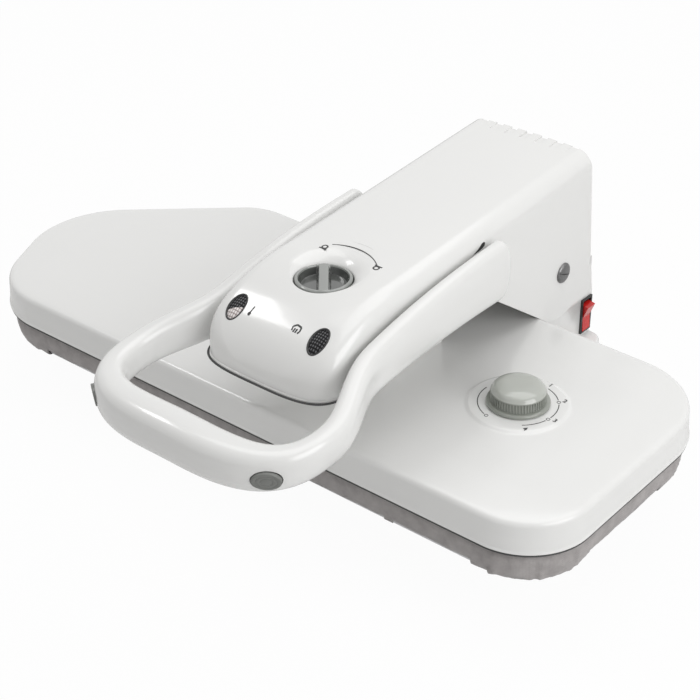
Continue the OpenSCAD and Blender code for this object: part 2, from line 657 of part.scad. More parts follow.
// Neck and bracket: they carry the head's plate and cover under the arm
module neck_plan(d) offset(delta = -d) translate([-neck_x, bracket_y[0] - neck_edge])
    square([2 * neck_x, bracket_y[1] - bracket_y[0] + 2 * neck_edge]);
module arm_neck() at_origin() color("whitesmoke") translate([0, 0, cover_top])
    linear_extrude(arm_z - cover_top) difference() {
        neck_plan(0);
        neck_plan(wall);
    }
web_z = arm_z + 4;
web_t = 3;
bracket_foot_w = 16;
bracket_head_w = 9;
module platen_bracket() at_origin() color("slategray") mirrored() {
    translate([bracket_half - web_t, bracket_y[0], plate_top + 0.2])
        cube([web_t, bracket_y[1] - bracket_y[0], web_z - plate_top - 0.2]);
    translate([bracket_half - web_t, bracket_y[0], plate_top])
        cube([bracket_foot_w, bracket_y[1] - bracket_y[0], wall]);
    translate([bracket_half - bracket_head_w, bracket_y[0], web_z - wall])
        cube([bracket_head_w, bracket_y[1] - bracket_y[0], wall]);
}

// Arm housing, the main formed piece: lofted shell cut by the side profile, with the filler cup
cup_floor = arm_z + 46;
cup_t = 2;
cup_wall = 12;
cap_gap = 1;
ledge_z = cup_floor + 7.5;
cup_flare = [2, 8, 9];
neck_bore = 11;
rear_gap_z = edge_z + 112;
rear_tan = (rear_low[0] - rear_top[0]) / (rear_top[1] - rear_low[1]);
function rear_in(z) = rear_top[0] + rear_tan * (rear_top[1] - z) - wall;
hollow_top = rear_top[1] + 100;
window_y = -8.4;
window_u = (brow_y - window_y) / brow_l;
window_tilt = atan(brow_h * window_u / (brow_l * sqrt(1 - window_u * window_u)));
window_rim = 1.5;
module window_frame(s) translate([s * window_x, window_y, arm_top(window_y, 0)])
    rotate([window_tilt, 0, 0]) children();
module window_prism(grow, low, h) translate([0, 0, low]) linear_extrude(h)
    oval(window_l + 2 * grow, window_w + 2 * grow);
pivot_screw_d = 8;
notch_w = 7;
notch_pitch = 16;
notch_in = 13;
notch_deep = 9;
module arm_housing() at_origin() color("whitesmoke") difference() {
    union() {
        difference() {
            intersection() {
                arm_loft(0, -10);
                across(2 * arm_w) arm_side();
            }
            intersection() {
                arm_loft(wall, -20);
                across(2 * arm_w) polygon([[-far_cut, -20], [arm_rear + 90, -20], [arm_rear + 90, rear_gap_z],
                    [rear_in(rear_gap_z), rear_gap_z], [rear_in(hollow_top), hollow_top],
                    [-far_cut, hollow_top]]);
            }
        }
        intersection() {
            arm_loft(0, -10);
            translate([0, cap_y, cup_floor - cup_t]) cylinder(r = cap_d / 2 + cup_wall, h = far_cut);
        }
    }
    translate([0, cap_y, cup_floor]) cylinder(r = cap_d / 2 + cap_gap, h = far_cut);
    translate([0, cap_y, ledge_z]) cylinder(r1 = cap_d / 2 + cap_gap + cup_flare[0],
        r2 = cap_d / 2 + cap_gap + cup_flare[1], h = cup_flare[2]);
    translate([0, cap_y, cup_floor - 10]) cylinder(r = neck_bore + 2 + screw_gap, h = 20);
    for (s = [-1, 1]) window_frame(s) window_prism(window_rim + 0.1, -12, 30);
    for (i = [0:vents - 1])
        translate([(i - (vents - 1) / 2) * notch_pitch - notch_w / 2, arm_rear - notch_in,
            rear_top[1] - notch_deep]) cube([notch_w, 40, 30]);
    at(grip_pivot) rod(grip_shaft_d / 2 + 0.5, 2 * arm_w);
    at(pivot) rod(pivot_screw_d / 2 + screw_gap, 2 * arm_w);
}

floor_end = tail_y - 4;
floor_inset = wall + seat_gap;
floor_y = [for (u = [0.99, 0.93, 0.8, 0.6, 0.35, 0]) nose_y - u * (nose_y + arm_reach - floor_inset)];
floor_side = concat([for (y = floor_y) [arm_half(y, floor_inset), y]],
    [[arm_half(floor_end, floor_inset), floor_end]]);
link_room = bracket_half + bracket_gap;
module arm_floor() at_origin() color("whitesmoke") translate([0, 0, arm_z])
    linear_extrude(wall) difference() {
        polygon(concat([for (p = floor_side) [-p[0], p[1]]], reversed(floor_side)));
        translate([-link_room, bracket_y[0] - bracket_gap]) square([2 * link_room, floor_end]);
    }

// Steel frame in the arm: two side plates and two webs
frame_x = arm_w / 2 - wall - seat_gap;
frame_r = cheek_r - wall - seat_gap - 3;
frame_front = bracket_y[0] + 15;
web_w = 2 * frame_x - steel_t;
module arm_frame() at_origin() color("slategray") {
    mirrored() translate([frame_x - steel_t / 2, 0, 0]) difference() {
        across(steel_t) {
            translate(pivot) circle(frame_r);
            polygon([[frame_front, web_z], [frame_front, under_roof(frame_front)],
                [pivot[0] + 3, under_roof(pivot[0])], [pivot[0] + 25, under_roof(frame_front)],
                pivot + frame_r * [cos(20), sin(20)], pivot,
                touch([tail_y, web_z], pivot, frame_r, 1), [tail_y, web_z]]);
        }
        at(grip_pivot) rod(grip_shaft_d / 2 + run_gap, 10);
        at(pivot) rod(pivot_screw_d / 2 + screw_gap, 10);
    }
    difference() {
        translate([-web_w / 2, frame_front, web_z]) cube([web_w, bracket_y[1] - frame_front - 15, web_t]);
        translate([0, inlet_y, web_z - cut]) cylinder(r = pipe_r + 1, h = web_t + 2);
    }
    translate([-web_w / 2, tail_y, under_roof(tail_y) - steel_t])
        cube([web_w, pivot[0] + 3 - tail_y, steel_t]);
}

module hinge_shaft() at_origin() color("silver") at(pivot) difference() {
    rod(shaft_d / 2, 2 * (frame_x - steel_t) - 0.2);
    rod(pivot_screw_d / 2 - 0.5, 3 * arm_w);
}

pivot_head_r = 11;
pivot_head_h = 3;
pivot_slot_w = 2;
module pivot_screws() at_origin() color("silver") mirrored()
    translate([arm_w / 2, pivot[0], pivot[1]]) rotate([0, 90, 0]) difference() {
        union() {
            cylinder(r = pivot_head_r, h = pivot_head_h - 1);
            translate([0, 0, pivot_head_h - 1]) cylinder(r1 = pivot_head_r, r2 = pivot_head_r - 1.5, h = 1);
            translate([0, 0, -wall - seat_gap - steel_t - 0.1])
                cylinder(r = pivot_screw_d / 2, h = wall + seat_gap + steel_t + 1);
            translate([0, 0, -18]) cylinder(r = pivot_screw_d / 2 - 0.5, h = 18);
        }
        rotate(25) translate([-pivot_head_r - cut, -pivot_slot_w / 2, pivot_head_h - 1.2])
            cube([2 * (pivot_head_r + cut), pivot_slot_w, 3]);
    }

// Water: tank under the filler cup, pump, hose and steam pipe to the plate
tank_y = [14, 104];
tank_x = 50;
tank_t = 2;
tank_r = 8;
tank_z = arm_z + wall;
tank_top = cup_floor - cup_t - 3;
pump_r = 13;
pump_l = 38;
pump = [-32, tank_y[1] + 10, web_z + web_t + pump_r + seat_gap];
hose_r = 4;
hose_bore = 2.5;
module tank_plan(d) translate([0, (tank_y[0] + tank_y[1]) / 2]) offset(r = tank_r - d)
    square([2 * (tank_x - tank_r), tank_y[1] - tank_y[0] - 2 * tank_r], center = true);
module water_tank() at_origin() color("lightblue") difference() {
    union() {
        translate([0, 0, tank_z]) linear_extrude(tank_top - tank_z) tank_plan(0);
        translate([0, cap_y, tank_top - 1]) cylinder(r = neck_bore + 2, h = cup_floor - tank_top + 1);
    }
    translate([0, 0, tank_z + tank_t]) linear_extrude(tank_top - tank_z - 2 * tank_t) tank_plan(tank_t);
    translate([0, cap_y, tank_top - 5]) cylinder(r = neck_bore, h = 20);
    translate([pump[0], tank_y[1] - 5, pump[2]]) rotate([-90, 0, 0]) cylinder(r = hose_bore, h = 20);
}
module water_hose() at_origin() color("gray")
    translate([pump[0], tank_y[1], pump[2]]) rotate([-90, 0, 0]) difference() {
        cylinder(r = hose_r, h = pump[1] - tank_y[1]);
        translate([0, 0, -cut]) cylinder(r = hose_bore, h = 20);
    }
module steam_pump() at_origin() color("dimgray") translate(pump) rotate([-90, 0, 0]) difference() {
    union() {
        cylinder(r = pump_r, h = pump_l);
        translate([0, 0, pump_l]) cylinder(r = 0.7 * pump_r, h = 8);
    }
    translate([0, 0, -cut]) cylinder(r = hose_bore, h = 10);
    translate([pump_r - 4, 0, inlet_y - pump[1]]) rotate([0, 90, 0]) cylinder(r = hose_bore, h = 10);
}
pipe_path = [[pump[0] + pump_r, inlet_y, pump[2]], [-2 * pipe_r, inlet_y, pump[2]],
    [-0.75 * pipe_r, inlet_y, pump[2] - 1.5], [-0.2 * pipe_r, inlet_y, pump[2] - pipe_r],
    [0, inlet_y, pump[2] - 2 * pipe_r], [0, inlet_y, plate_top - 1.9]];
module steam_pipe() at_origin() color("darkgoldenrod") tube(pipe_path, pipe_r, 16);

// Indicator windows: black rims that follow the brow, dark lenses and their board
module lens_bezels() at_origin() color("black") for (s = [-1, 1]) difference() {
    intersection() {
        arm_loft(-0.4, -10);
        window_frame(s) window_prism(window_rim, -9, 20);
    }
    window_frame(s) window_prism(0, -10, 30);
}
module indicator_lenses() at_origin() color("dimgray") for (s = [-1, 1]) intersection() {
    arm_loft(0.6, -10);
    window_frame(s) window_prism(-0.05, -8, 20);
}
lamp_board = [2 * window_x + 20, 26, 1.6];
module indicator_board() at_origin() color("green") translate([0, window_y, arm_top(window_y, 0)])
    rotate([window_tilt, 0, 0]) translate([-lamp_board[0] / 2, -lamp_board[1] / 2, -9 - lamp_board[2]])
    cube(lamp_board);

// Handle: one loop of hollow section on a steel core, turning on a shaft in the arm
handle_x = arm_w / 2 + handle_gap + grip_w / 2;
handle_spread = handle_x + handle_flare;
grip_level = edge_z + grip_z;
corner_h = 30;
corner_w = grip_w + 3;
corner_l = 62;
corner_y = corner_l - handle_reach;
corner_rise = 2;
corner_dip = 3;
flare_y = corner_y + 76;
grip_power = 3;
function bezier(p, t) = pow(1 - t, 3) * p[0] + 3 * t * pow(1 - t, 2) * p[1]
    + 3 * t * t * (1 - t) * p[2] + pow(t, 3) * p[3];
// One smoothing step that leaves the ends and the middle of the bar where they are
function kept(v, i) = i == 0 || i == len(v) - 1 || abs(2 * i - len(v) + 1) < 6;
function eased(v) = [for (i = [0:len(v) - 1])
    kept(v, i) ? v[i] : (v[i - 1] + 2 * v[i] + v[i + 1]) / 4];
arm_bezier = [[grip_pivot[0] + 18, grip_level + grip_rise],
    [grip_pivot[0] - 112, grip_level + grip_rise], [corner_y + 72, grip_level + grip_rise / 2],
    [corner_y, grip_level + corner_rise]];
// The arms run straight beside the press's arm and then swing out to the corners
function swing(y) = let (u = min(1, max(0, (flare_y - y) / (flare_y - corner_y))))
    handle_x + handle_flare * u * u * (3 - 2 * u);
function arm_point(t) = let (p = bezier(arm_bezier, t)) [swing(p[0]), p[0], p[1]];
end_t = [0, 0.008, 0.02, 0.04, 0.08];
end_share = [0.66, 0.8, 0.9, 0.96, 0.99];
arm_t = concat(end_t, [0.14, 0.3, 0.45, 0.57, 0.65, 0.73, 0.8, 0.87, 0.94]);
bar_t = [0:9:90];
function bar_x(t) = pow(cos(t), 2 / grip_power);
function bar_y(t) = pow(sin(t), 2 / grip_power);
half_path = concat([for (t = arm_t) arm_point(t)],
    [for (t = bar_t) [handle_spread * bar_x(t), corner_y - corner_l * bar_y(t),
        grip_level + corner_rise * (1 - bar_y(t)) - corner_dip * sin(2 * t)]]);
function mirror_x(p, s) = [for (k = [0:len(p) - 1]) k == 0 ? s * p[k] : p[k]];
function folded(v, s) = concat(v, [for (i = [len(v) - 2:-1:0]) mirror_x(v[i], s)]);
grip_path = eased(eased(folded(half_path, -1)));
function end_scale(i) = i < len(end_share) ? end_share[i] : 1;
half_size = concat(
    [for (i = [0:len(arm_t) - 1])
        ([grip_w, grip_rear_h] * (1 - arm_t[i]) + [corner_w, corner_h] * arm_t[i]) * end_scale(i)],
    [for (t = bar_t) let (u = pow(sin(t), 2))
        [corner_w, corner_h] * (1 - u) + [grip_front_w, grip_front_h] * u]);
grip_size = folded(half_size, 1);
// Section of the grip: an oval with slightly squared sides
grip_square = 0.8;
function power(c, e) = sign(c) * pow(abs(c), e);
function grip_ring(i, n) = let (a = grip_path[max(i - 1, 0)], b = grip_path[min(i + 1, len(grip_path) - 1)],
    t = unit([b[0] - a[0], b[1] - a[1], 0]))
    [for (k = [0:n - 1]) let (q = 360 * k / n) grip_path[i]
        + grip_size[i][0] / 2 * power(cos(q), grip_square) * [t[1], -t[0], 0]
        + grip_size[i][1] / 2 * power(sin(q), grip_square) * [0, 0, 1]];
shaft_seat = grip_w / 2 - 2.5;
core_skip = len(end_t);
core_path = [for (i = [core_skip:len(grip_path) - 1 - core_skip]) grip_path[i]];

// Steam buttons in the front corners, and the switches under them
button_p = [handle_spread - 11, 3.5 - handle_reach, grip_level - 5];
button_n = unit([0.57, -0.8, -0.12]);
button_travel = 1.6;
button_h = 3.2;
button_out = 0.7;
button_edge = 0.8;
switch_h = 1.2;
switch_gap = 0.3;
pocket_z = button_out - button_h - button_travel - switch_gap - switch_h;
module button_frame() translate(button_p)
    rotate([0, acos(button_n[2]), atan2(button_n[1], button_n[0])]) children();
module handle_loop() at_origin() color("whitesmoke") difference() {
    skin([for (i = [len(grip_path) - 1:-1:0]) grip_ring(i, 24)]);
    tube(core_path, core_d / 2 + 0.6, 8);
    mirrored() {
        translate([handle_x - grip_w / 2 - 3, grip_pivot[0], grip_pivot[1]]) rotate([0, 90, 0])
            cylinder(r = grip_shaft_d / 2 + run_gap, h = shaft_seat + 3.5);
        button_frame() translate([0, 0, pocket_z]) linear_extrude(30) oval(button_l + 0.2, button_w + 0.2);
    }
}
module handle_core() at_origin() color("slategray") tube(core_path, core_d / 2, 8);
module handle_shaft() at_origin() color("silver")
    at(grip_pivot) rod(grip_shaft_d / 2, 2 * (handle_x - grip_w / 2 + shaft_seat));
module toggle_crank() at_origin() color("slategray") mirrored()
    translate([(link_t + crank_t) / 2 + crank_gap, 0, 0]) difference() {
        across(crank_t) strap(grip_pivot, crank_p, 9, crank_r);
        at(grip_pivot) rod(grip_shaft_d / 2, 5);
        at(crank_p) rod(crank_pin_r, 5);
    }
module toggle_pin() at_origin() color("silver")
    at(crank_p) rod(crank_pin_r, link_t + 2 * (crank_t + crank_gap) + 2.6);
module steam_switches() at_origin() color("dimgray") mirrored()
    button_frame() translate([0, 0, pocket_z]) linear_extrude(switch_h) oval(button_l - 6, button_w - 6);
module toggle_link() at_origin() color("silver") difference() {
    across(link_t) strap(crank_p, catch_p, crank_r, catch_r + 7);
    at(crank_p) rod(crank_pin_r + run_gap, 10);
    at(catch_p) rod(catch_r + catch_gap, 10);
}

module button_shape() button_frame() {
    translate([0, 0, button_out - button_h]) linear_extrude(button_h - button_edge) oval(button_l, button_w);
    translate([0, 0, button_out - button_edge]) linear_extrude(button_edge)
        oval(button_l - 3 * button_edge, button_w - 3 * button_edge);
}
module steam_button_left() at_origin() color("gray") mirror([1, 0, 0]) button_shape();
module steam_button_right() at_origin() color("gray") button_shape();

// Filler cap with its grip bar between two finger wells, and the seal under it
seal_h = 1;
seal_w = 5;
cap_z = cup_floor + seal_h;
cap_h = 10;
bar_w = 8;
bar_turn = 130;
well_deep = 7;
well_r = cap_d / 2 - 4;
module filler_cap() at_origin() color("gray") translate([0, cap_y, cap_z]) difference() {
    union() {
        rotate_extrude() polygon([[0, 0], [cap_d / 2 - 1, 0], [cap_d / 2, 1], [cap_d / 2, cap_h - 1.5],
            [cap_d / 2 - 1.5, cap_h], [0, cap_h]]);
        translate([0, 0, -8]) cylinder(r = neck_bore - 0.8, h = 9);
    }
    rotate(bar_turn) for (s = [0, 1]) mirror([0, s, 0]) intersection() {
        translate([0, 0, cap_h - well_deep]) cylinder(r = well_r, h = cap_h);
        translate([-cap_d, bar_w / 2, 0]) cube([2 * cap_d, cap_d, 3 * cap_h]);
    }
}
module cap_seal() at_origin() color("dimgray") translate([0, cap_y, cup_floor]) difference() {
    cylinder(r = neck_bore + 3 + seal_w, h = seal_h);
    translate([0, 0, -cut]) cylinder(r = neck_bore + 3, h = 3);
}

// Thermostat knob: a flat foot ring, a ribbed skirt and a low dome
foot_ring_h = 3;
skirt_h = 11.5;
skirt_r = knob_d / 2 - 3.5;
rib_h = 1.1;
module knob_section() polygon(concat([[0, 0], [knob_d / 2 - 0.6, 0], [knob_d / 2, 0.8],
    [knob_d / 2, foot_ring_h - 0.8], [knob_d / 2 - 0.8, foot_ring_h], [skirt_r - 0.8, foot_ring_h],
    [skirt_r - 0.8, skirt_h]],
    [for (a = [0:15:90]) [(skirt_r - 1.2) * cos(a * 0.55) - sin(a), skirt_h + (knob_h - skirt_h) * sin(a)]],
    [[0, knob_h]]));
module ribbed_skirt() translate([0, 0, foot_ring_h - 0.5]) linear_extrude(skirt_h - foot_ring_h + 0.5)
    polygon([for (i = [0:2 * knob_ribs - 1]) (skirt_r - (i % 2 == 0 ? 0 : rib_h))
        * [cos(180 * i / knob_ribs), sin(180 * i / knob_ribs)]]);
module thermostat_knob() at_origin() color("gray")
    translate([knob_x, knob_y, dial_top + seat_gap]) difference() {
        union() {
            rotate_extrude($fn = 72) knob_section();
            ribbed_skirt();
        }
        translate([0, 0, -cut]) cylinder(r = spindle_r + run_gap, h = spindle_top - dial_top + 1.2);
    }

base_pan();
base_plate();
rubber_feet();
base_screws();
column_cover();
column_bracket();
hinge_bushes();
catch_pin();
lift_springs();
board_tray();
foam_pad();
board_cover();
board_screws();
switch_bezel();
switch_body();
cord_gland();
rocker_switch();
plate_cover();
heating_plate();
heating_element();
heat_shield();
plate_screws();
thermostat();
thermal_cutout();
arm_neck();
platen_bracket();
arm_housing();
arm_floor();
arm_frame();
hinge_shaft();
pivot_screws();
water_tank();
steam_pump();
water_hose();
steam_pipe();
lens_bezels();
indicator_lenses();
indicator_board();
handle_loop();
handle_core();
handle_shaft();
toggle_crank();
toggle_pin();
toggle_link();
steam_switches();
steam_button_left();
steam_button_right();
filler_cap();
cap_seal();
thermostat_knob();
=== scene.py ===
# %% [markdown]
# # A steam ironing press on its engineering frame
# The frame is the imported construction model: every rigid piece at its real size, with the joints that
# carry it. This script gives it its looks. A piece that is already right keeps its mesh and gets a
# material. A moulded shell or a cloth is made again with a finer surface, and rides on the same body.

# %% Load the frame
import json
import math
import bpy
import bmesh
import numpy as np
from mathutils import Matrix, Vector

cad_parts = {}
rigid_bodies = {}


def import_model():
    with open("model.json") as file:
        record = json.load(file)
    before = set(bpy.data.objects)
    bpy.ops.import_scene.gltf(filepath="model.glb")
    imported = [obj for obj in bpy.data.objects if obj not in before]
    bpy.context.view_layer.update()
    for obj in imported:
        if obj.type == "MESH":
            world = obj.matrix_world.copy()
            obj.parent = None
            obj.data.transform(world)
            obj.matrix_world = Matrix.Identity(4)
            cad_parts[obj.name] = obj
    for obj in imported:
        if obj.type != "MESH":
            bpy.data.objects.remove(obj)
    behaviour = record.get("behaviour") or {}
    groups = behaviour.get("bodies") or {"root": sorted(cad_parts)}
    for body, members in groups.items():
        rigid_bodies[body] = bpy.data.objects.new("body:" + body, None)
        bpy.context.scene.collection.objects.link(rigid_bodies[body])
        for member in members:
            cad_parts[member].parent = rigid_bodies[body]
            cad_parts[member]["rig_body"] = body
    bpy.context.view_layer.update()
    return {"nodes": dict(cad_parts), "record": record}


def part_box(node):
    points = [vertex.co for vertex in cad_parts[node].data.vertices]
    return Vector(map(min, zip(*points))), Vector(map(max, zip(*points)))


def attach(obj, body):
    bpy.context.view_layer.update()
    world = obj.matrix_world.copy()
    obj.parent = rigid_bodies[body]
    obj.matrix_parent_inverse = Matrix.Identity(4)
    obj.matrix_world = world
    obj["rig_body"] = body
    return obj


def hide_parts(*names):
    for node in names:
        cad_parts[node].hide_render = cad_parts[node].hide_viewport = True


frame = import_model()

MM = 0.001
nodes = frame["nodes"]

# %% [markdown]
# The press is drawn in its own working frame, in millimetres: X = 0 is the middle plane of the arm,
# Y = 0 is the front edge of the head and Z = 0 is the table. `at` turns such a point into metres in
# the frame of the model. Its origin comes from the frame, so that nothing has to be fitted.

# %% Working frame
neck_low, neck_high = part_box("arm_neck")
cover_low, cover_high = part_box("plate_cover")
arm_mid_x = (neck_low.x + neck_high.x) / 2
head_front_y = cover_low.y
edge_z = cover_low.z / MM
HEAD_LEFT = (arm_mid_x - cover_low.x) / MM
HEAD_RIGHT = (cover_high.x - arm_mid_x) / MM
HEAD_DEPTH = (cover_high.y - head_front_y) / MM


def at(x, y, z):
    """A point of the working frame, in metres of the model's frame."""
    return Vector((arm_mid_x + x * MM, head_front_y + y * MM, z * MM))


print("head: %.0f mm wide, %.0f mm deep, edge at %.1f mm" % (HEAD_LEFT + HEAD_RIGHT, HEAD_DEPTH, edge_z))

# %% [markdown]
# The camera comes first. Its direction, distance and lens were solved from the outlines of the press,
# so that straight edges run together at the same rate as in the photograph. The aim point is shifted
# sideways and up, which centres the picture without tilting the lens.

# %% Camera
CAMERA_TURN, CAMERA_DROP, CAMERA_ROLL = math.radians(40.0), math.radians(31.8), math.radians(-0.6)
CAMERA_DISTANCE, CAMERA_SIDE, CAMERA_LIFT = 1314.7, 50.9, 81.84
LENS, SENSOR, CLIP_END = 83.44, 36, 20


def placed(name, data):
    """A new object in the scene."""
    obj = bpy.data.objects.new(name, data)
    bpy.context.scene.collection.objects.link(obj)
    return obj


look = Vector((-math.sin(CAMERA_TURN) * math.cos(CAMERA_DROP), math.cos(CAMERA_TURN) * math.cos(CAMERA_DROP),
               -math.sin(CAMERA_DROP)))
side = Vector((math.cos(CAMERA_TURN), math.sin(CAMERA_TURN), 0))
upward = side.cross(look)
eye = -look * CAMERA_DISTANCE + side * CAMERA_SIDE + upward * CAMERA_LIFT
rolled_side = side * math.cos(CAMERA_ROLL) + upward * math.sin(CAMERA_ROLL)
rolled_up = upward * math.cos(CAMERA_ROLL) - side * math.sin(CAMERA_ROLL)
camera = placed("camera", bpy.data.cameras.new("camera"))
turn = Matrix((rolled_side, rolled_up, -look)).transposed()
camera.matrix_world = Matrix.Translation(at(eye.x, eye.y, eye.z + edge_z)) @ turn.to_4x4()
camera.data.lens, camera.data.sensor_width, camera.data.clip_end = LENS, SENSOR, CLIP_END
bpy.context.scene.camera = camera
bpy.context.scene.view_settings.view_transform = "Standard"
print("camera at", [round(v, 3) for v in camera.location])

# %% [markdown]
# Light and floor. A white product on white paper needs light that wraps round it: a large soft lamp
# above, a weaker one from each side and a pale world. The floor and the world answer Light Path, so
# that the camera and the gloss see white paper, while the light that reaches the press stays plain.
# `node` makes a node and fills its inputs, each with a value or with a socket to link.

# %% Light, world and floor
def node(tree, kind, **settings):
    """A new node: in_NAME or in_0 is an input, by value or linked socket; the rest are properties."""
    made = tree.nodes.new(kind)
    for key, value in settings.items():
        if not key.startswith("in_"):
            setattr(made, key, value)
            continue
        name = key[3:].replace("_", " ")
        socket = made.inputs[int(name) if name.isdigit() else name]
        if isinstance(value, bpy.types.NodeSocket):
            tree.links.new(value, socket)
        else:
            socket.default_value = value
    return made


def maths(tree, operation, *inputs):
    """The output of a Math node over values or sockets."""
    given = {"in_%d" % i: value for i, value in enumerate(inputs)}
    return node(tree, "ShaderNodeMath", operation=operation, **given).outputs[0]


def new_material(name):
    material = bpy.data.materials.new(name)
    material.use_nodes = True
    material.node_tree.nodes.clear()
    return material, material.node_tree


def lamp(name, place, size, power):
    """A soft rectangular lamp that looks at the middle of the press."""
    data = bpy.data.lights.new(name, "AREA")
    data.shape = "RECTANGLE"
    data.size, data.size_y = size
    data.energy = power
    obj = placed(name, data)
    obj.location = place
    obj.rotation_euler = (Vector((0, 0, 0.1)) - Vector(place)).to_track_quat("-Z", "Y").to_euler()


lamp("overhead_lamp", (0.1, 0.5, 1.9), (2.0, 1.6), 14)
lamp("front_lamp", (-1.0, -0.3, 1.45), (0.5, 0.3), 3.5)
lamp("side_lamp", (1.6, -0.1, 0.9), (1.2, 1.0), 11)

WORLD_COLOUR, WORLD_LEVEL = (1.0, 0.995, 0.985, 1), 0.46
world = bpy.data.worlds.new("studio")
bpy.context.scene.world = world
world.use_nodes = True
tree = world.node_tree
tree.nodes.clear()
rays = tree.nodes.new("ShaderNodeLightPath").outputs
seen = maths(tree, "MAXIMUM", rays["Is Camera Ray"], rays["Is Transmission Ray"])
seen = maths(tree, "MAXIMUM", seen, rays["Is Glossy Ray"])
plain = node(tree, "ShaderNodeBackground", in_Color=WORLD_COLOUR, in_Strength=WORLD_LEVEL)
white = node(tree, "ShaderNodeBackground", in_Color=(1, 1, 1, 1))
both = node(tree, "ShaderNodeMixShader", in_0=seen, in_1=plain.outputs[0], in_2=white.outputs[0])
node(tree, "ShaderNodeOutputWorld", in_Surface=both.outputs[0])

FLOOR, FLOOR_GREY, PAPER_WHITE = 6, 0.8, 0.96
paper, tree = new_material("floor_paper")
sheet = node(tree, "ShaderNodeBsdfPrincipled", in_Base_Color=(FLOOR_GREY, FLOOR_GREY, FLOOR_GREY, 1),
             in_Roughness=0.9, in_Specular_IOR_Level=0.1)
glow = node(tree, "ShaderNodeEmission", in_Strength=1)
rays = tree.nodes.new("ShaderNodeLightPath").outputs
both = node(tree, "ShaderNodeMixShader", in_0=maths(tree, "MULTIPLY", rays["Is Camera Ray"], PAPER_WHITE),
            in_1=sheet.outputs[0], in_2=glow.outputs[0])
node(tree, "ShaderNodeOutputMaterial", in_Surface=both.outputs[0])
floor_mesh = bpy.data.meshes.new("floor")
corners = [(-FLOOR, -FLOOR, 0), (FLOOR, -FLOOR, 0), (FLOOR, FLOOR, 0), (-FLOOR, FLOOR, 0)]
floor_mesh.from_pydata(corners, [], [(0, 1, 2, 3)])
floor = placed("floor", floor_mesh)
floor.data.materials.append(paper)
print("lights: 3 lamps, world and paper floor")

# %% [markdown]
# Most finishes share a few effects: the slow unevenness of a moulded or rolled surface, fine grain, a
# woven cloth and a fine mesh. Each is a node group, built once. Its inputs are plain numbers, and it
# puts out a mask and a height that a material feeds to its own shader. Object coordinates are metres
# on the press, so a scale of 1000 has features of about a millimetre.

# %% Shared effects
def effect(name, build, **inputs):
    """A shader group with number inputs; build gives its mask and height from them and the coordinates."""
    group = bpy.data.node_groups.new(name, "ShaderNodeTree")
    for label, value in inputs.items():
        socket = group.interface.new_socket(name=label.replace("_", " "), in_out="INPUT",
                                            socket_type="NodeSocketFloat")
        socket.default_value = value
    for label in ("Mask", "Height"):
        group.interface.new_socket(name=label, in_out="OUTPUT", socket_type="NodeSocketFloat")
    where = group.nodes.new("ShaderNodeTexCoord").outputs["Object"]
    mask, height = build(group, group.nodes.new("NodeGroupInput").outputs, where)
    node(group, "NodeGroupOutput", in_Mask=mask, in_Height=height)
    return group


def noise(group, where, scale, detail, rough):
    return node(group, "ShaderNodeTexNoise", in_Vector=where, in_Scale=scale, in_Detail=detail,
                in_Roughness=rough).outputs["Fac"]


def ripples(group, source, turns):
    """Even rounded ridges along one coordinate."""
    return maths(group, "ABSOLUTE", maths(group, "SINE", maths(group, "MULTIPLY", source, turns)))


def uneven(group, enter, where):
    """Slow waves and fine grain."""
    waves = noise(group, where, enter["Wave Scale"], 3.0, 0.55)
    grain = noise(group, where, enter["Grain Scale"], 2.0, 0.6)
    blend = node(group, "ShaderNodeMix", data_type="FLOAT", in_0=enter["Grain Share"], in_2=waves, in_3=grain)
    return waves, blend.outputs[0]


def rolled(group, enter, where):
    """Fine lines along X, as rolling or brushing leaves them on sheet metal."""
    along, across = enter["Along"], enter["Across"]
    join = node(group, "ShaderNodeCombineXYZ", in_0=along, in_1=across, in_2=across)
    scaled = node(group, "ShaderNodeVectorMath", operation="MULTIPLY", in_0=where, in_1=join.outputs[0])
    return (noise(group, scaled.outputs[0], 1.0, 2.0, 0.5),) * 2


def weave(group, enter, where):
    """A plain weave: two crossed sets of threads, and slow slubs that make some of them lighter."""
    x, y, z = node(group, "ShaderNodeSeparateXYZ", in_0=where).outputs
    sets = [ripples(group, source, enter["Threads"]) for source in (x, maths(group, "ADD", y, z))]
    return noise(group, where, enter["Slub Scale"], 4.0, 0.65), maths(group, "MAXIMUM", *sets)


def dots(group, enter, where):
    """A fine grid of round dots, as in the moulded mesh of a lamp window."""
    x, y, _ = node(group, "ShaderNodeSeparateXYZ", in_0=where).outputs
    return (maths(group, "MULTIPLY", *[ripples(group, source, enter["Turns"]) for source in (x, y)]),) * 2


UNEVEN = effect("unevenness", uneven, Wave_Scale=12.0, Grain_Scale=900.0, Grain_Share=0.3)
ROLLED = effect("rolled_lines", rolled, Along=8.0, Across=1400.0)
WEAVE = effect("plain_weave", weave, Threads=1700.0, Slub_Scale=90.0)
DOTS = effect("lamp_mesh", dots, Turns=1380.0)
print("effects:", UNEVEN.name, ROLLED.name, WEAVE.name, DOTS.name)

# %% [markdown]
# Every finish is a Principled shader whose colour and roughness move a little with a shared mask, and
# whose bump comes from a shared height. `finish` builds that pattern once. A number that is the same
# all over is set on the shader's own socket, where an export can read it. A colour that is given as
# one number is a grey.

# %% Finishes
finishes = {}


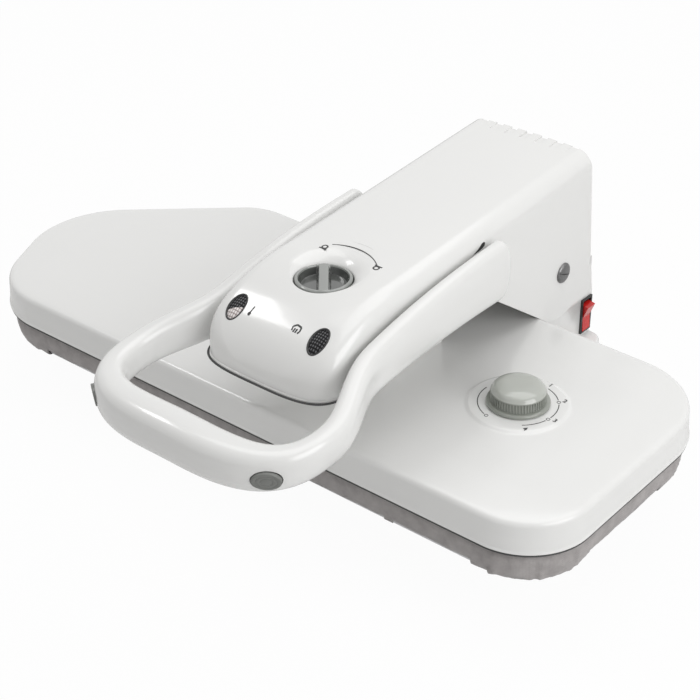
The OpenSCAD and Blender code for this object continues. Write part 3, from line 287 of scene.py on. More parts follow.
def finish(name, dark, light, rough, group, inputs, bump, contrast=(0.3, 0.7), coat=None, **shader_inputs):
    """A finish whose colour runs from dark to light and whose roughness runs over rough, by a mask."""
    finishes[name], tree = new_material(name)
    effects = node(tree, "ShaderNodeGroup", node_tree=group, **inputs)
    mask = effects.outputs["Mask"]
    colours = node(tree, "ShaderNodeValToRGB", in_0=mask)
    for stop, place, colour in zip(colours.color_ramp.elements, contrast, (dark, light)):
        stop.position = place
        stop.color = (*(colour if isinstance(colour, tuple) else (colour,) * 3), 1)
    spread = node(tree, "ShaderNodeMapRange", in_Value=mask, in_From_Min=contrast[0], in_From_Max=contrast[1],
                  in_To_Min=rough[0], in_To_Max=rough[1])
    relief = node(tree, "ShaderNodeBump", in_Strength=bump[0], in_Distance=bump[1] * MM,
                  in_Height=effects.outputs["Height"])
    if coat:
        shader_inputs.update(in_Coat_Weight=coat[0], in_Coat_Roughness=coat[1])
    shader = node(tree, "ShaderNodeBsdfPrincipled", in_Base_Color=colours.outputs[0],
                  in_Roughness=spread.outputs[0], in_Normal=relief.outputs[0], **shader_inputs)
    node(tree, "ShaderNodeOutputMaterial", in_Surface=shader.outputs[0])


def moulded(name, dark, light, rough, waves=12.0, grain=900.0, depth=0.02, share=0.3, **more):
    inputs = dict(in_Wave_Scale=waves, in_Grain_Scale=grain, in_Grain_Share=share)
    finish(name, dark, light, rough, UNEVEN, inputs, (0.3, depth), **more)


def metal(name, dark, light, rough, across=1400.0):
    finish(name, dark, light, rough, ROLLED, dict(in_Across=across), (0.3, 0.01), in_Metallic=1.0)


moulded("white_plastic", (0.775, 0.775, 0.765), (0.79, 0.79, 0.78), (0.22, 0.25), grain=500, depth=0.006,
        contrast=(0.0, 1.0), coat=(0.5, 0.08))
finish("grey_fabric", (0.315, 0.297, 0.294), (0.425, 0.403, 0.398), (0.8, 0.95), WEAVE, {}, (0.5, 0.25),
       in_Sheen_Weight=0.25, in_Sheen_Roughness=0.5, in_Specular_IOR_Level=0.2)
moulded("foam", (0.52, 0.47, 0.30), (0.62, 0.57, 0.38), (0.85, 1.0), grain=1600, depth=0.6, share=0.8)
moulded("grey_plastic", (0.17, 0.175, 0.165), (0.20, 0.205, 0.195), (0.26, 0.34), grain=1500)
moulded("knob_plastic", (0.28, 0.295, 0.265), (0.31, 0.325, 0.29), (0.18, 0.24), grain=1500, depth=0.01,
        coat=(0.5, 0.05))
# Painted reflection: a lighter, glossier copy of the knob's finish for its dome.
moulded("knob_dome_painted_reflection", (0.42, 0.435, 0.40), (0.46, 0.475, 0.44), (0.14, 0.18), grain=1500, depth=0.01,
        coat=(0.8, 0.04))
moulded("cap_plastic", (0.25, 0.26, 0.25), (0.29, 0.30, 0.285), (0.14, 0.2), depth=0.01, coat=(0.6, 0.08))
# Painted shade: a much darker finish for the floors of the cap's wells.
moulded("well_painted_shade", (0.07, 0.075, 0.07), (0.10, 0.105, 0.10), (0.1, 0.16), depth=0.01, coat=(0.8, 0.05))
moulded("black_plastic", 0.012, 0.024, (0.35, 0.5), grain=2500, depth=0.04, share=0.8)
moulded("red_plastic", (0.50, 0.012, 0.012), (0.62, 0.02, 0.018), (0.12, 0.2), depth=0.005,
        coat=(0.15, 0.1), in_Specular_IOR_Level=0.35)
moulded("rubber_grey", 0.05, 0.08, (0.7, 0.9), grain=2000, depth=0.05, share=0.8)
moulded("ink_grey", 0.02, 0.04, (0.5, 0.6))
moulded("tank_plastic", (0.48, 0.56, 0.60), (0.54, 0.62, 0.66), (0.3, 0.42), in_Transmission_Weight=0.25)
moulded("board_green", (0.015, 0.13, 0.05), (0.03, 0.20, 0.08), (0.3, 0.45), depth=0.01)
moulded("ceramic_body", (0.66, 0.62, 0.52), (0.74, 0.70, 0.60), (0.35, 0.55), depth=0.03)
moulded("cast_alloy", (0.50, 0.50, 0.51), (0.62, 0.62, 0.63), (0.22, 0.4), grain=1200, depth=0.03, share=0.6,
        in_Metallic=1.0)
moulded("element_steel", (0.10, 0.07, 0.06), (0.24, 0.20, 0.16), (0.4, 0.6), waves=25.0, depth=0.03,
        share=0.5, in_Metallic=1.0)
metal("plated_steel", (0.46, 0.46, 0.45), (0.60, 0.60, 0.58), (0.25, 0.42))
metal("screw_steel", 0.16, 0.24, (0.3, 0.42), across=900)
metal("spring_steel", (0.16, 0.16, 0.17), (0.28, 0.28, 0.29), (0.3, 0.45), across=700)
metal("sheet_alloy", (0.60, 0.60, 0.61), (0.74, 0.74, 0.75), (0.25, 0.38))
metal("bronze", (0.42, 0.27, 0.11), (0.56, 0.38, 0.17), (0.3, 0.45), across=900)
finish("lens_dark", (0.006, 0.006, 0.007), (0.13, 0.13, 0.135), (0.5, 0.3), DOTS, {}, (0.4, 0.15),
       contrast=(0.55, 0.7), in_Specular_IOR_Level=0.15)
# Painted light: a lighter lens finish for the lower half of the left lens.
finish("lens_painted_light", (0.30, 0.25, 0.24), (0.85, 0.80, 0.79), (0.3, 0.15), DOTS, {}, (0.4, 0.15),
       contrast=(0.1, 0.5))

slots = {entry["node"]: entry["material_slot"] for entry in frame["record"]["subparts"]}
for name, obj in nodes.items():
    obj.data.materials.clear()
    obj.data.materials.append(finishes[slots[name]])
print("finishes: %d, on %d nodes" % (len(finishes), len(nodes)))

# %% [markdown]
# Pieces are made from rings of points in the working frame. `skin` joins rings of equal count into a
# closed mesh, `carve` runs an exact boolean, and `smooth` shades a piece and keeps its real edges.
# `dense` runs a soft curve through a few points, so a profile needs only the points that shape it.

# %% Mesh tools
def in_frame(points):
    """Points of the working frame, in millimetres, as metres of the model's frame."""
    return np.asarray(points, float) * MM + np.array([arm_mid_x, head_front_y, 0])


def working(mesh):
    """The mesh's points in the working frame, in millimetres."""
    flat = np.empty(len(mesh.vertices) * 3)
    mesh.vertices.foreach_get("co", flat)
    return (flat.reshape(-1, 3) - np.array([arm_mid_x, head_front_y, 0])) / MM


def put_back(mesh, points):
    mesh.vertices.foreach_set("co", in_frame(points).ravel())
    mesh.update()


def around(count):
    """Even angles round a full turn."""
    return np.arange(count) * 2 * math.pi / count


def reworked(mesh, work):
    """Runs work on the mesh as a bmesh, and returns what it returns."""
    bm = bmesh.new()
    bm.from_mesh(mesh)
    result = work(bm)
    bm.to_mesh(mesh)
    bm.free()
    return result


def outward(mesh):
    """The mesh with doubled points merged and its faces turned outwards."""
    def work(bm):
        bmesh.ops.remove_doubles(bm, verts=bm.verts, dist=0.002 * MM)
        bmesh.ops.recalc_face_normals(bm, faces=bm.faces)
    reworked(mesh, work)
    return mesh


def new_object(name, mesh, material=None):
    obj = placed(name, mesh)
    if material:
        mesh.materials.clear()
        mesh.materials.append(finishes[material])
    return obj


def skin(name, rings, material=None, closed=False):
    """A closed skin over rings. A flat face ends it, or the last ring joins the first."""
    rings = [in_frame(ring) for ring in rings]
    count, rows = len(rings[0]), len(rings)
    faces = []
    for row in range(rows if closed else rows - 1):
        low, high = row * count, (row + 1) % rows * count
        faces += [(low + i, low + (i + 1) % count, high + (i + 1) % count, high + i) for i in range(count)]
    if not closed:
        faces += [tuple(range(count - 1, -1, -1)), tuple(range((rows - 1) * count, rows * count))]
    mesh = bpy.data.meshes.new(name)
    mesh.from_pydata(np.vstack(rings).tolist(), [], faces)
    return new_object(name, outward(mesh), material)


def settled(obj):
    """The object with its modifiers applied, and the modifiers gone."""
    graph = bpy.context.evaluated_depsgraph_get()
    mesh = bpy.data.meshes.new_from_object(obj.evaluated_get(graph))
    obj.modifiers.clear()
    obj.data = mesh
    return obj


def carve(obj, tools, operation="DIFFERENCE"):
    """Cuts the tools out of obj, or joins or intersects them, and removes the tools."""
    for tool in tools:
        modifier = obj.modifiers.new("carve", "BOOLEAN")
        modifier.operation, modifier.solver, modifier.object = operation, "EXACT", tool
    settled(obj)
    for tool in tools:
        bpy.data.objects.remove(tool)
    return obj


def smooth(obj, angle=32):
    obj.data.shade_smooth()
    obj.data.set_sharp_from_angle(angle=math.radians(angle))
    return obj


def second_finish(obj, material, chosen):
    """Gives the faces that chosen(face) picks a second finish."""
    obj.data.materials.append(finishes[material])
    for face in obj.data.polygons:
        if chosen(face):
            face.material_index = 1


def dense(points, steps=6):
    """A soft curve through the points."""
    p = np.asarray(points, float)
    p = np.vstack([2 * p[0] - p[1], p, 2 * p[-1] - p[-2]])
    curve = []
    for a, b, c, d in zip(p, p[1:], p[2:], p[3:]):
        for t in np.arange(steps) / steps:
            curve.append(0.5 * (2 * b + (c - a) * t + (2 * a - 5 * b + 4 * c - d) * t * t
                                + (3 * b - a - 3 * c + d) * t ** 3))
    return [tuple(point) for point in curve + [p[-2]]]


def lathe(name, profile, centre, count=96):
    """A turned piece: profile [(radius, z)] from its foot up, round a vertical axis."""
    turns = around(count)
    return skin(name, [np.column_stack([centre[0] + r * np.cos(turns), centre[1] + r * np.sin(turns),
                                        np.full(count, z)]) for r, z in profile])


def block(name, low, high):
    (x0, y0, z0), (x1, y1, z1) = low, high
    return skin(name, [[(x0, y0, z), (x1, y0, z), (x1, y1, z), (x0, y1, z)] for z in (z0, z1)])


def side_prism(name, profile, half_width, middle=0.0):
    """A prism across the press, round x = middle, with its profile [(y, z)]."""
    return skin(name, [[(middle + x, y, z) for y, z in profile] for x in (-half_width, half_width)])


def side_rod(name, centre, radius, half_width, middle=0.0):
    profile = [(centre[0] + radius * math.cos(t), centre[1] + radius * math.sin(t)) for t in around(48)]
    return side_prism(name, profile, half_width, middle)


def joined(name, parts, material=None):
    """Several objects as one mesh."""
    bm = bmesh.new()
    for part in parts:
        bm.from_mesh(part.data)
        bpy.data.objects.remove(part)
    mesh = bpy.data.meshes.new(name)
    bm.to_mesh(mesh)
    bm.free()
    return new_object(name, mesh, material)


def ride_on(piece, name):
    """Puts a piece that replaces nothing on the body of a construction node."""
    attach(piece, nodes[name]["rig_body"])


def fit(piece, *replaced):
    """Puts a piece in the place of these construction nodes, on their body and with their finish slot."""
    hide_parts(*replaced)
    ride_on(piece, replaced[0])
    if not piece.data.materials:
        piece.data.materials.append(finishes[slots[replaced[0]]])
    return piece


print("mesh tools: ready")

# %% [markdown]
# The head, the board and its cover share one outline: the convex skin round five circles. `outline`
# walks it by the direction of its normal, so an inset copy keeps the same centres.

# %% Shared outline
NOSE, NOSE_MID, FRONT_SET, SHOULDER_X = 90, 118, 17, 157
FRONT_LEFT, FRONT_RIGHT, REAR_RIGHT, REAR_LEFT = 80, 58, 76, 58
DEPTH_RIGHT = 265
HEAD = np.array([
    (NOSE - HEAD_LEFT, NOSE_MID, NOSE),
    (FRONT_SET + FRONT_LEFT - HEAD_LEFT, FRONT_LEFT, FRONT_LEFT),
    (HEAD_RIGHT - FRONT_RIGHT, FRONT_RIGHT, FRONT_RIGHT),
    (HEAD_RIGHT - REAR_RIGHT, DEPTH_RIGHT - REAR_RIGHT, REAR_RIGHT),
    (SHOULDER_X - HEAD_LEFT, HEAD_DEPTH - REAR_LEFT, REAR_LEFT)])


def outline(inset, count):
    normals = np.column_stack([np.cos(around(count)), np.sin(around(count))])
    nearest = np.argmax(HEAD[:, :2] @ normals.T + HEAD[:, 2:], axis=0)
    return HEAD[nearest, :2] + (HEAD[nearest, 2] - inset)[:, None] * normals


def outline_rings(profile, base, count=360):
    """Rings over the outline: profile is [(inset, height over base)]."""
    return [np.column_stack([outline(inset, count), np.full(count, base + z)]) for inset, z in profile]


print("outline: %.0f x %.0f mm" % tuple(np.ptp(outline(0, 360), axis=0)))

# %% [markdown]
# The head's cover is a pressed shell with a straight band, a wide rolled edge and a nearly flat top.
# A low disc carries the thermostat. Its edge is soft, as in a deep pressing, so it shows only as a slight
# change of light. A dark bead just under the cover's lip is painted shade in the gap there.

# %% Head cover
WALL, COVER_H = 2.5, 29.0
cover_top = edge_z + COVER_H
KNOB_AT, DIAL_R, DIAL_H = (129.0, 137.0), 42.0, 2.0
BRACKET_Y, BRACKET_HALF, SPINDLE_R = (105, 165), 17, 7
# The last three set the dark beads of painted shade under the cover's lip and the arm's lip.
SHADOW_STRIP_INSET, SHADOW_STRIP_DOWN, SHADOW_STRIP_R = 1.5, 1.3, 1.0
lip = [(0.5, 0), (0.1, 0.25), (0, 0.8), (0.15, 1.4), (0.75, 2.1)]
roll = lip + dense([(0.9, 3), (1.1, 8), (1.6, 15), (1.9, 21.0), (2.3, 24.2), (3.6, 26.4), (5.8, 27.6),
                    (9.5, 28.1), (18, 28.5), (40, COVER_H), (52, COVER_H)], 5)
inside = dense([(52, COVER_H - WALL), (40, COVER_H - WALL), (16, 24.5), (10, 23.7), (6.8, 22.2), (4.9, 19.4),
                (4.1, 15), (WALL + 0.9, 8), (WALL, 0)], 3)
cover = skin("head_cover", outline_rings(inside + roll, edge_z), "white_plastic")
dial_edge = dense([(DIAL_R + 3.5, -0.02), (DIAL_R + 1.5, 0.25), (DIAL_R, DIAL_H / 2),
                   (DIAL_R - 1.6, DIAL_H - 0.2), (DIAL_R - 4, DIAL_H)], 5)
dial_foot = (DIAL_R + 3.5, cover_top - WALL + 0.5)
carve(cover, [lathe("dial", [dial_foot] + [(r, cover_top + z) for r, z in dial_edge], KNOB_AT, 160)], "UNION")
carve(cover, [block("bracket_slot", (-BRACKET_HALF, BRACKET_Y[0] - 2, cover_top - 9),
                    (BRACKET_HALF, BRACKET_Y[1] + 2, cover_top + 9)),
              lathe("spindle_hole", [(SPINDLE_R, cover_top - 9), (SPINDLE_R, cover_top + 9)], KNOB_AT, 48)])
fit(smooth(cover, 40), "plate_cover")
# Painted shade: this dark bead under the cover's lip stands for the shadow in the gap there.
bead = [(SHADOW_STRIP_INSET - SHADOW_STRIP_R * math.cos(t), SHADOW_STRIP_R * math.sin(t) - SHADOW_STRIP_DOWN) for t in around(10)]
cover_seal = smooth(skin("cover_seal", outline_rings(bead, edge_z), "rubber_grey", closed=True), 60)
ride_on(cover_seal, "plate_cover")
print("head cover: %d faces" % len(cover.data.polygons))

# %% [markdown]
# The arm is lofted from rings: an elliptic brow, round shoulders and a straight rising back. Each
# function below gives one measure of its section, and an inset makes the same section smaller.

# %% Arm sections
ARM_HALF, ARM_REACH, ARM_Z, ARM_REAR = 65.0, 34.0, 159.0, 332.0
BROW_L, BROW_H, NOSE_Y, NOSE_POWER = 109.0, 61.0, 5.0, 3.6
SHOULDER, CROWN, BACK_SLOPE = 16.0, 2.0, 0.07
brow_y = BROW_L - ARM_REACH
lip_z = ARM_Z + 2


def arm_top(y, inset=0.0):
    part = np.minimum(1, (brow_y - y) / (BROW_L - inset))
    brow = lip_z + (BROW_H - inset) * np.sqrt(np.maximum(0, 1 - part ** 2))
    return np.where(y < brow_y, brow, lip_z + BROW_H - inset + BACK_SLOPE * (y - brow_y))


def arm_half(y, inset=0.0):
    part = np.clip((NOSE_Y - y) / (NOSE_Y + ARM_REACH - inset), 0, 1)
    return (ARM_HALF - inset) * (1 - part ** NOSE_POWER) ** (1 / NOSE_POWER)


def arm_shape(y, inset=0.0, low=-10.0):
    """Half width, top, shoulder radius and shoulder level of the arm's section at y."""
    half, top = arm_half(y, inset), arm_top(y, inset)
    round_r = np.minimum(SHOULDER - inset, np.minimum(half * 0.8, (top - low) * 0.8))
    return half, top, round_r, top - CROWN * ((half - round_r) / ARM_HALF) ** 2


def arm_surface(x, y):
    """Height of the arm's skin over a point of the plan."""
    half, top, round_r, edge = arm_shape(y)
    flat = np.maximum(half - round_r, 0.01)
    beyond = np.clip(np.abs(x) - flat, 0, round_r)
    crown = top - (top - edge) * np.minimum(1, np.abs(x) / flat) ** 2
    shoulder = edge - round_r + np.sqrt(np.maximum(0, round_r ** 2 - beyond ** 2))
    return np.where(np.abs(x) < flat, crown, shoulder)


def arm_ring(y, inset, low):
    half, top, round_r, edge = (float(v) for v in arm_shape(np.float64(y), inset, low))
    left = [(round_r - half + round_r * math.cos(t), edge - round_r + round_r * math.sin(t))
            for t in np.radians(np.linspace(180, 90, 19))]
    roof = [(k * (half - round_r), top - (top - edge) * k * k) for k in np.linspace(-0.9, 0.9, 13)]
    right = [(-x, z) for x, z in reversed(left)]
    return [(x, y, z) for x, z in [(-half, low)] + left + roof + right + [(half, low)]]


def nose_places(first, count):
    """Shares of the nose's length, closest together at its tip."""
    return np.cos(np.pi / 2 * np.linspace(first, 1, count) ** 1.8) ** (2 / NOSE_POWER)


def arm_loft(name, inset, low=-10):
    places = [*(NOSE_Y - nose_places(0.06, 44) * (NOSE_Y + ARM_REACH - inset)), *np.arange(11, brow_y, 6),
              *np.arange(brow_y, ARM_REAR + 18, 13)]
    return skin(name, [arm_ring(y, inset, low) for y in places])


print("arm: %.0f mm wide, top at %.0f mm over the rear edge" % (2 * ARM_HALF, arm_top(ARM_REAR)))

# %% [markdown]
# The side profile cuts the loft: a straight lower edge runs tangent into the round cheeks of the
# hinge, and from there a straight rear edge runs up. A smaller loft hollows the arm. The dish round
# the filler cap flares softly, because there the back rises above the cap.

# %% Arm housing
PIVOT, CHEEK_R, GRIP_PIVOT = np.array((297.0, 134.5)), 45.5, np.array((172.0, 190.0))
CAP_Y, CAP_R, CUP_FLOOR, CAP_Z, NECK_R = 48.0, 23.0, 205.0, 206.0, 13.1
REAR_GAP = 187.0


def touch(point, centre, radius, hand):
    """Angle at which a line from the point touches a circle."""
    away = np.asarray(point) - centre
    return math.atan2(away[1], away[0]) + hand * math.acos(radius / np.hypot(*away))


rear_top, tail = np.array((ARM_REAR, float(arm_top(ARM_REAR)))), np.array((190.0, 155.0))
turn_from, turn_to = touch(tail, PIVOT, CHEEK_R, 1), touch(rear_top, PIVOT, CHEEK_R, -1)
cheek = [PIVOT + CHEEK_R * np.array((math.cos(a), math.sin(a)))
         for a in np.linspace(turn_from, turn_to + 2 * math.pi, 60)]
rear_up = 2 * rear_top - cheek[-1]
rear_lean = (cheek[-1][0] - rear_top[0]) / (rear_top[1] - cheek[-1][1])
arm = arm_loft("arm_shell", 0)
arm_side = [(-60, ARM_Z), (0, ARM_Z), tail, *cheek, rear_up, (-60, rear_up[1])]
carve(arm, [side_prism("arm_side", arm_side, 100)], "INTERSECT")
rear_in = [(rear_top[0] + rear_lean * (rear_top[1] - z) - WALL, z) for z in (REAR_GAP, 340)]
hollow_side = [(-60, -20), (430, -20), (430, REAR_GAP)] + rear_in + [(-60, 340)]
hollow = carve(arm_loft("arm_hollow", WALL, -20), [side_prism("hollow_side", hollow_side, 100)], "INTERSECT")
cup_round = lathe("cup_round", [(CAP_R + 12, CUP_FLOOR - 2), (CAP_R + 12, 260)], (0, CAP_Y))
cup = carve(arm_loft("cup_body", 0.05), [cup_round], "INTERSECT")
carve(arm, [hollow])
carve(arm, [cup], "UNION")
dish = dense([(CAP_R + 1, 213.4), (CAP_R + 1.5, 214.8), (26.8, 217.0), (30.5, 219.4), (35.5, 221.3),
              (42, 222.6), (50, 223.4)], 4)
carve(arm, [lathe("cup_cut", [(CAP_R + 1, CUP_FLOOR)] + dish + [(50, 240)], (0, CAP_Y), 128),
            lathe("neck_cut", [(NECK_R, CUP_FLOOR - 10), (NECK_R, CUP_FLOOR + 10)], (0, CAP_Y))])
print("arm housing: %d faces before the windows" % len(arm.data.polygons))

# %% [markdown]
# The indicator windows are ovals laid on the brow. A loop of points is pushed along the window's own
# direction until it meets the skin, so the hole, its black rim and its lens follow the same curve.
# The lower half of the left lens takes a lighter finish: painted light.

# %% Indicator windows
WINDOW_X, WINDOW_Y, WINDOW_L, WINDOW_W, WINDOW_RIM = 42.0, -8.4, 22.0, 13.0, 1.5
SEARCH = 12.0
window_part = (brow_y - WINDOW_Y) / BROW_L
WINDOW_TILT = math.atan(BROW_H * window_part / (BROW_L * math.sqrt(1 - window_part ** 2)))


def on_brow(side_x, across, along, lift):
    """A point of a window's plane moved onto the arm's skin, and lift beyond it."""
    normal = np.array((0, -math.sin(WINDOW_TILT), math.cos(WINDOW_TILT)))
    point = np.array((side_x + across, WINDOW_Y + along * math.cos(WINDOW_TILT),
                      float(arm_top(WINDOW_Y)) + along * math.sin(WINDOW_TILT)))
    low, high = -SEARCH, SEARCH
    for _ in range(24):
        middle = (low + high) / 2
        trial = point + middle * normal
        if trial[2] > float(arm_surface(trial[0], trial[1])):
            high = middle
        else:
            low = middle
    return point + (low + lift) * normal


def window_loop(side_x, grow, lift, share=1.0):
    return [on_brow(side_x, share * (WINDOW_W / 2 + grow) * math.cos(t),
                    share * (WINDOW_L / 2 + grow) * math.sin(t), lift) for t in around(64)]


rim = [(WINDOW_RIM, -6), (WINDOW_RIM, 0.15), (WINDOW_RIM - 0.5, 0.45), (0.5, 0.3), (0, -0.3), (0, -6)]
dome = [(share, 0.35 - 0.95 * share ** 2) for share in (0.03, 0.12, 0.22, 0.32, 0.42, 0.52, 0.62, 0.72, 0.8,
                                                        0.88, 0.95, 1)] + [(1, -5), (0.03, -5)]
rims, lenses = [], []
for side_x in (-WINDOW_X, WINDOW_X):
    carve(arm, [skin("window_cut", [window_loop(side_x, WINDOW_RIM + 0.1, lift) for lift in (-9, 9)])])
    rims.append(skin("window_rim", [window_loop(side_x, grow, lift) for grow, lift in rim], closed=True))
    lenses.append(skin("window_lens", [window_loop(side_x, -0.05, lift, share) for share, lift in dome]))
fit(smooth(joined("window_rims", rims), 40), "lens_bezels")
window_lenses = joined("window_lenses", lenses, "lens_dark")
# Painted light: the lower half of the left lens takes a lighter finish.
painted_light_edge = at(-WINDOW_X, WINDOW_Y - 1.0, 0)
second_finish(window_lenses, "lens_painted_light", lambda face: face.center.x < painted_light_edge.x + 0.02
              and face.center.y < painted_light_edge.y + 0.4 * (face.center.x - painted_light_edge.x))
fit(smooth(window_lenses, 40), "indicator_lenses")
print("arm housing: %d faces, with 2 windows" % len(arm.data.polygons))

# %% [markdown]
# Shallow notches run over the rear edge, and each side has a slot over the handle's end, with a black block
# behind it as painted shade of the hollow there. Along the lower edge runs a rounded lip, and just inside it
# a dark bead of painted shade that stands for the shadow under the arm. Both are beads swept along the same
# line round the nose.

# %% Notches, slots, lip and shadow bead
NOTCHES, NOTCH_PITCH, NOTCH_W, NOTCH_IN, NOTCH_DOWN, NOTCH_DEEP = 7, 16.0, 7.0, 13.0, 9.0, 1.3
SLOT_SIDE = [(156, 210.6), (166, 210.8), (171, 211.6), (174, 213.2), (174.8, 215.2), (173.4, 216.6),
             (170.6, 216.4), (164, 213.2)]
GRIP_BORE, PIVOT_BORE, SHADE_HALF = 5.5, 4.1, 6
# The last two place the dark bead of painted shade inside the arm's lip.
LIP_R, ARM_SHADOW_IN, ARM_SHADOW_DROP = 0.75, 1.8, 0.3
rear_y, rear_z = rear_top
notch_side = [(rear_y - NOTCH_IN, rear_z + 20),
              (rear_y - NOTCH_IN, rear_z - NOTCH_DEEP - BACK_SLOPE * NOTCH_IN),
              (rear_y - NOTCH_DEEP, rear_z - NOTCH_DEEP),
              (rear_y + rear_lean * NOTCH_DOWN - NOTCH_DEEP, rear_z - NOTCH_DOWN),
              (rear_y + 27, rear_z - NOTCH_DOWN), (rear_y + 27, rear_z + 20)]
notch_cuts = [side_prism("notch", notch_side, NOTCH_W / 2, (i - (NOTCHES - 1) / 2) * NOTCH_PITCH)
              for i in range(NOTCHES)]
carve(arm, [joined("notches", notch_cuts)])
carve(arm, [side_rod("grip_bore", GRIP_PIVOT, GRIP_BORE, 130),
            side_rod("pivot_bore", PIVOT, PIVOT_BORE, 130)])
carve(arm, [side_prism("grip_slot", SLOT_SIDE, 100)])
# Painted shade: a black block inside the arm behind each slot stands for the shade of the hollow.
shades = [carve(side_prism("slot_shade", SLOT_SIDE, SHADE_HALF, hand * (ARM_HALF - 2)),
                [arm_loft("shade_body", 0.4)], "INTERSECT") for hand in (-1, 1)]
ride_on(joined("slot_shades", shades, "black_plastic"), "arm_housing")
arm.data.materials.clear()
fit(smooth(arm, 30), "arm_housing")

edge_side = np.array([(float(arm_half(y)), y) for y in NOSE_Y - nose_places(0, 60) * (NOSE_Y + ARM_REACH)]
                     + [(ARM_HALF, y) for y in range(9, 176, 6)])
edge_path = np.vstack([edge_side[::-1], (edge_side * (-1, 1))[1:]])
edge_way = np.gradient(edge_path, axis=0)
edge_way /= np.linalg.norm(edge_way, axis=1)[:, None]
# Painted shade: the second bead is dark and stands for the shadow under the arm's lip.
for name, material, radius, inwards, level in (
        ("arm_lip", "white_plastic", LIP_R, 0.0, ARM_Z + LIP_R),
        ("arm_seal", "rubber_grey", SHADOW_STRIP_R, ARM_SHADOW_IN, ARM_Z - ARM_SHADOW_DROP)):
    rings = [[(p[0] + (radius * math.cos(t) - inwards) * w[1], p[1] - (radius * math.cos(t) - inwards) * w[0],
               level + radius * math.sin(t)) for t in around(10)] for p, w in zip(edge_path, edge_way)]
    ride_on(smooth(skin(name, rings, material), 60), "arm_housing")
print("arm housing: %d faces after the notches and bores" % len(arm.data.polygons))

# %% [markdown]
# The handle is one loop: a soft section swept along a path that runs straight beside the arm, swings
# out, and comes round as a squarish curve. The section is tall and narrow beside the arm, and nearly
# round across the front.

# %% Handle
HANDLE_REACH, HANDLE_X, HANDLE_FLARE, CORNER_L = 124.0, 76.0, 24.0, 62.0
GRIP_LEVEL, GRIP_RISE, CORNER_RISE, CORNER_DIP = edge_z + 85.0, 32.0, 2.0, 3.0
REAR_SECTION, CORNER_SECTION, FRONT_SECTION = np.array(((17.0, 55.0), (20.0, 30.0), (33.0, 37.0)))
END_ROUND, SECTION_N, SQUARE = 12.0, 64, 0.72
SOFTEN = np.array((1, 4, 6, 4, 1)) / 16
corner_y = CORNER_L - HANDLE_REACH
flare_y = corner_y + 76
spread = HANDLE_X + HANDLE_FLARE
grip_y, grip_level = GRIP_PIVOT[0], GRIP_LEVEL + GRIP_RISE
side_curve = np.array([(grip_y + 18, grip_level), (grip_y - 112, grip_level),
                       (corner_y + 72, GRIP_LEVEL + GRIP_RISE / 2), (corner_y, GRIP_LEVEL + CORNER_RISE)])


def grip_station(s):
    """Path point and section size: s runs from 0 at the rear end over 1 at the corner to 2 at the front."""
    if s < 1:
        b = np.array([(1 - s) ** 3, 3 * s * (1 - s) ** 2, 3 * s * s * (1 - s), s ** 3]) @ side_curve
        swing = min(1, max(0, (flare_y - b[0]) / (flare_y - corner_y)))
        return (HANDLE_X + HANDLE_FLARE * swing * swing * (3 - 2 * swing), b[0], b[1]), \
            REAR_SECTION * (1 - s) + CORNER_SECTION * s
    t = (s - 1) * math.pi / 2
    far, forward = max(0, math.cos(t)) ** (2 / 3), math.sin(t) ** (2 / 3)
    share = math.sin(t) ** 2
    return (spread * far, corner_y - CORNER_L * forward,
            GRIP_LEVEL + CORNER_RISE * (1 - forward) - CORNER_DIP * math.sin(2 * t)), \
        CORNER_SECTION * (1 - share) + FRONT_SECTION * share


half_path, half_size = (np.array(part) for part in zip(*[grip_station(s) for s in np.linspace(0, 2, 900)]))
path = np.vstack([half_path, (half_path * (-1, 1, 1))[-2::-1]])
size = np.vstack([half_size, half_size[-2::-1]])
travel = np.concatenate([[0], np.cumsum(np.linalg.norm(np.diff(path, axis=0), axis=1))])
end_places = END_ROUND * (1 - np.cos(np.linspace(0.05, 1, 12) * math.pi / 2))
even = np.concatenate([end_places, np.linspace(END_ROUND, travel[-1] - END_ROUND, 260)[1:-1],
                       travel[-1] - end_places[::-1]])
place = np.column_stack([np.interp(even, travel, path[:, k]) for k in range(3)])
width = np.column_stack([np.interp(even, travel, size[:, k]) for k in range(2)])
for _ in range(6):
    for values in (place, width):
        values[2:-2] = sum(w * values[k:len(values) - 4 + k] for k, w in enumerate(SOFTEN))
from_end = np.minimum(even, travel[-1] - even)
shrink = np.sqrt(np.clip(1 - (1 - np.minimum(1, from_end / END_ROUND)) ** 2, 0, 1))
forward = np.gradient(place, axis=0)
forward[:, 2] = 0
forward /= np.linalg.norm(forward, axis=1)[:, None]
outward_side = np.column_stack([forward[:, 1], -forward[:, 0], np.zeros(len(forward))])
soft_cos, soft_sin = (np.sign(f(around(SECTION_N))) * np.abs(f(around(SECTION_N))) ** SQUARE
                      for f in (np.cos, np.sin))
grip_rings = [point + (wide / 2 * less ** 0.6 * soft_cos)[:, None] * way
              + (tall / 2 * less * soft_sin)[:, None] * np.array((0, 0, 1))
              for point, (wide, tall), less, way in zip(place, width, shrink, outward_side)]
handle = skin("handle_grip", grip_rings)
print("handle: a path of %.0f mm" % travel[-1])

# %% [markdown]
# The steam buttons sit in oval pockets in the front corners of the handle. Both pockets are cut with
# the same loop, mirrored. A button is a low oval dome with two fine grooves, turned out of that loop.

# %% Button pockets and steam buttons
BUTTON_L, BUTTON_W, BUTTON_IN, BUTTON_GAP, SHAFT_BORE = 26.0, 19.0, 1.7, 0.7, 5.05
button_at = np.array((spread - 11, 3.5 - HANDLE_REACH, GRIP_LEVEL - 5))
button_out = np.array((0.57, -0.8, -0.12)) / np.linalg.norm((0.57, -0.8, -0.12))


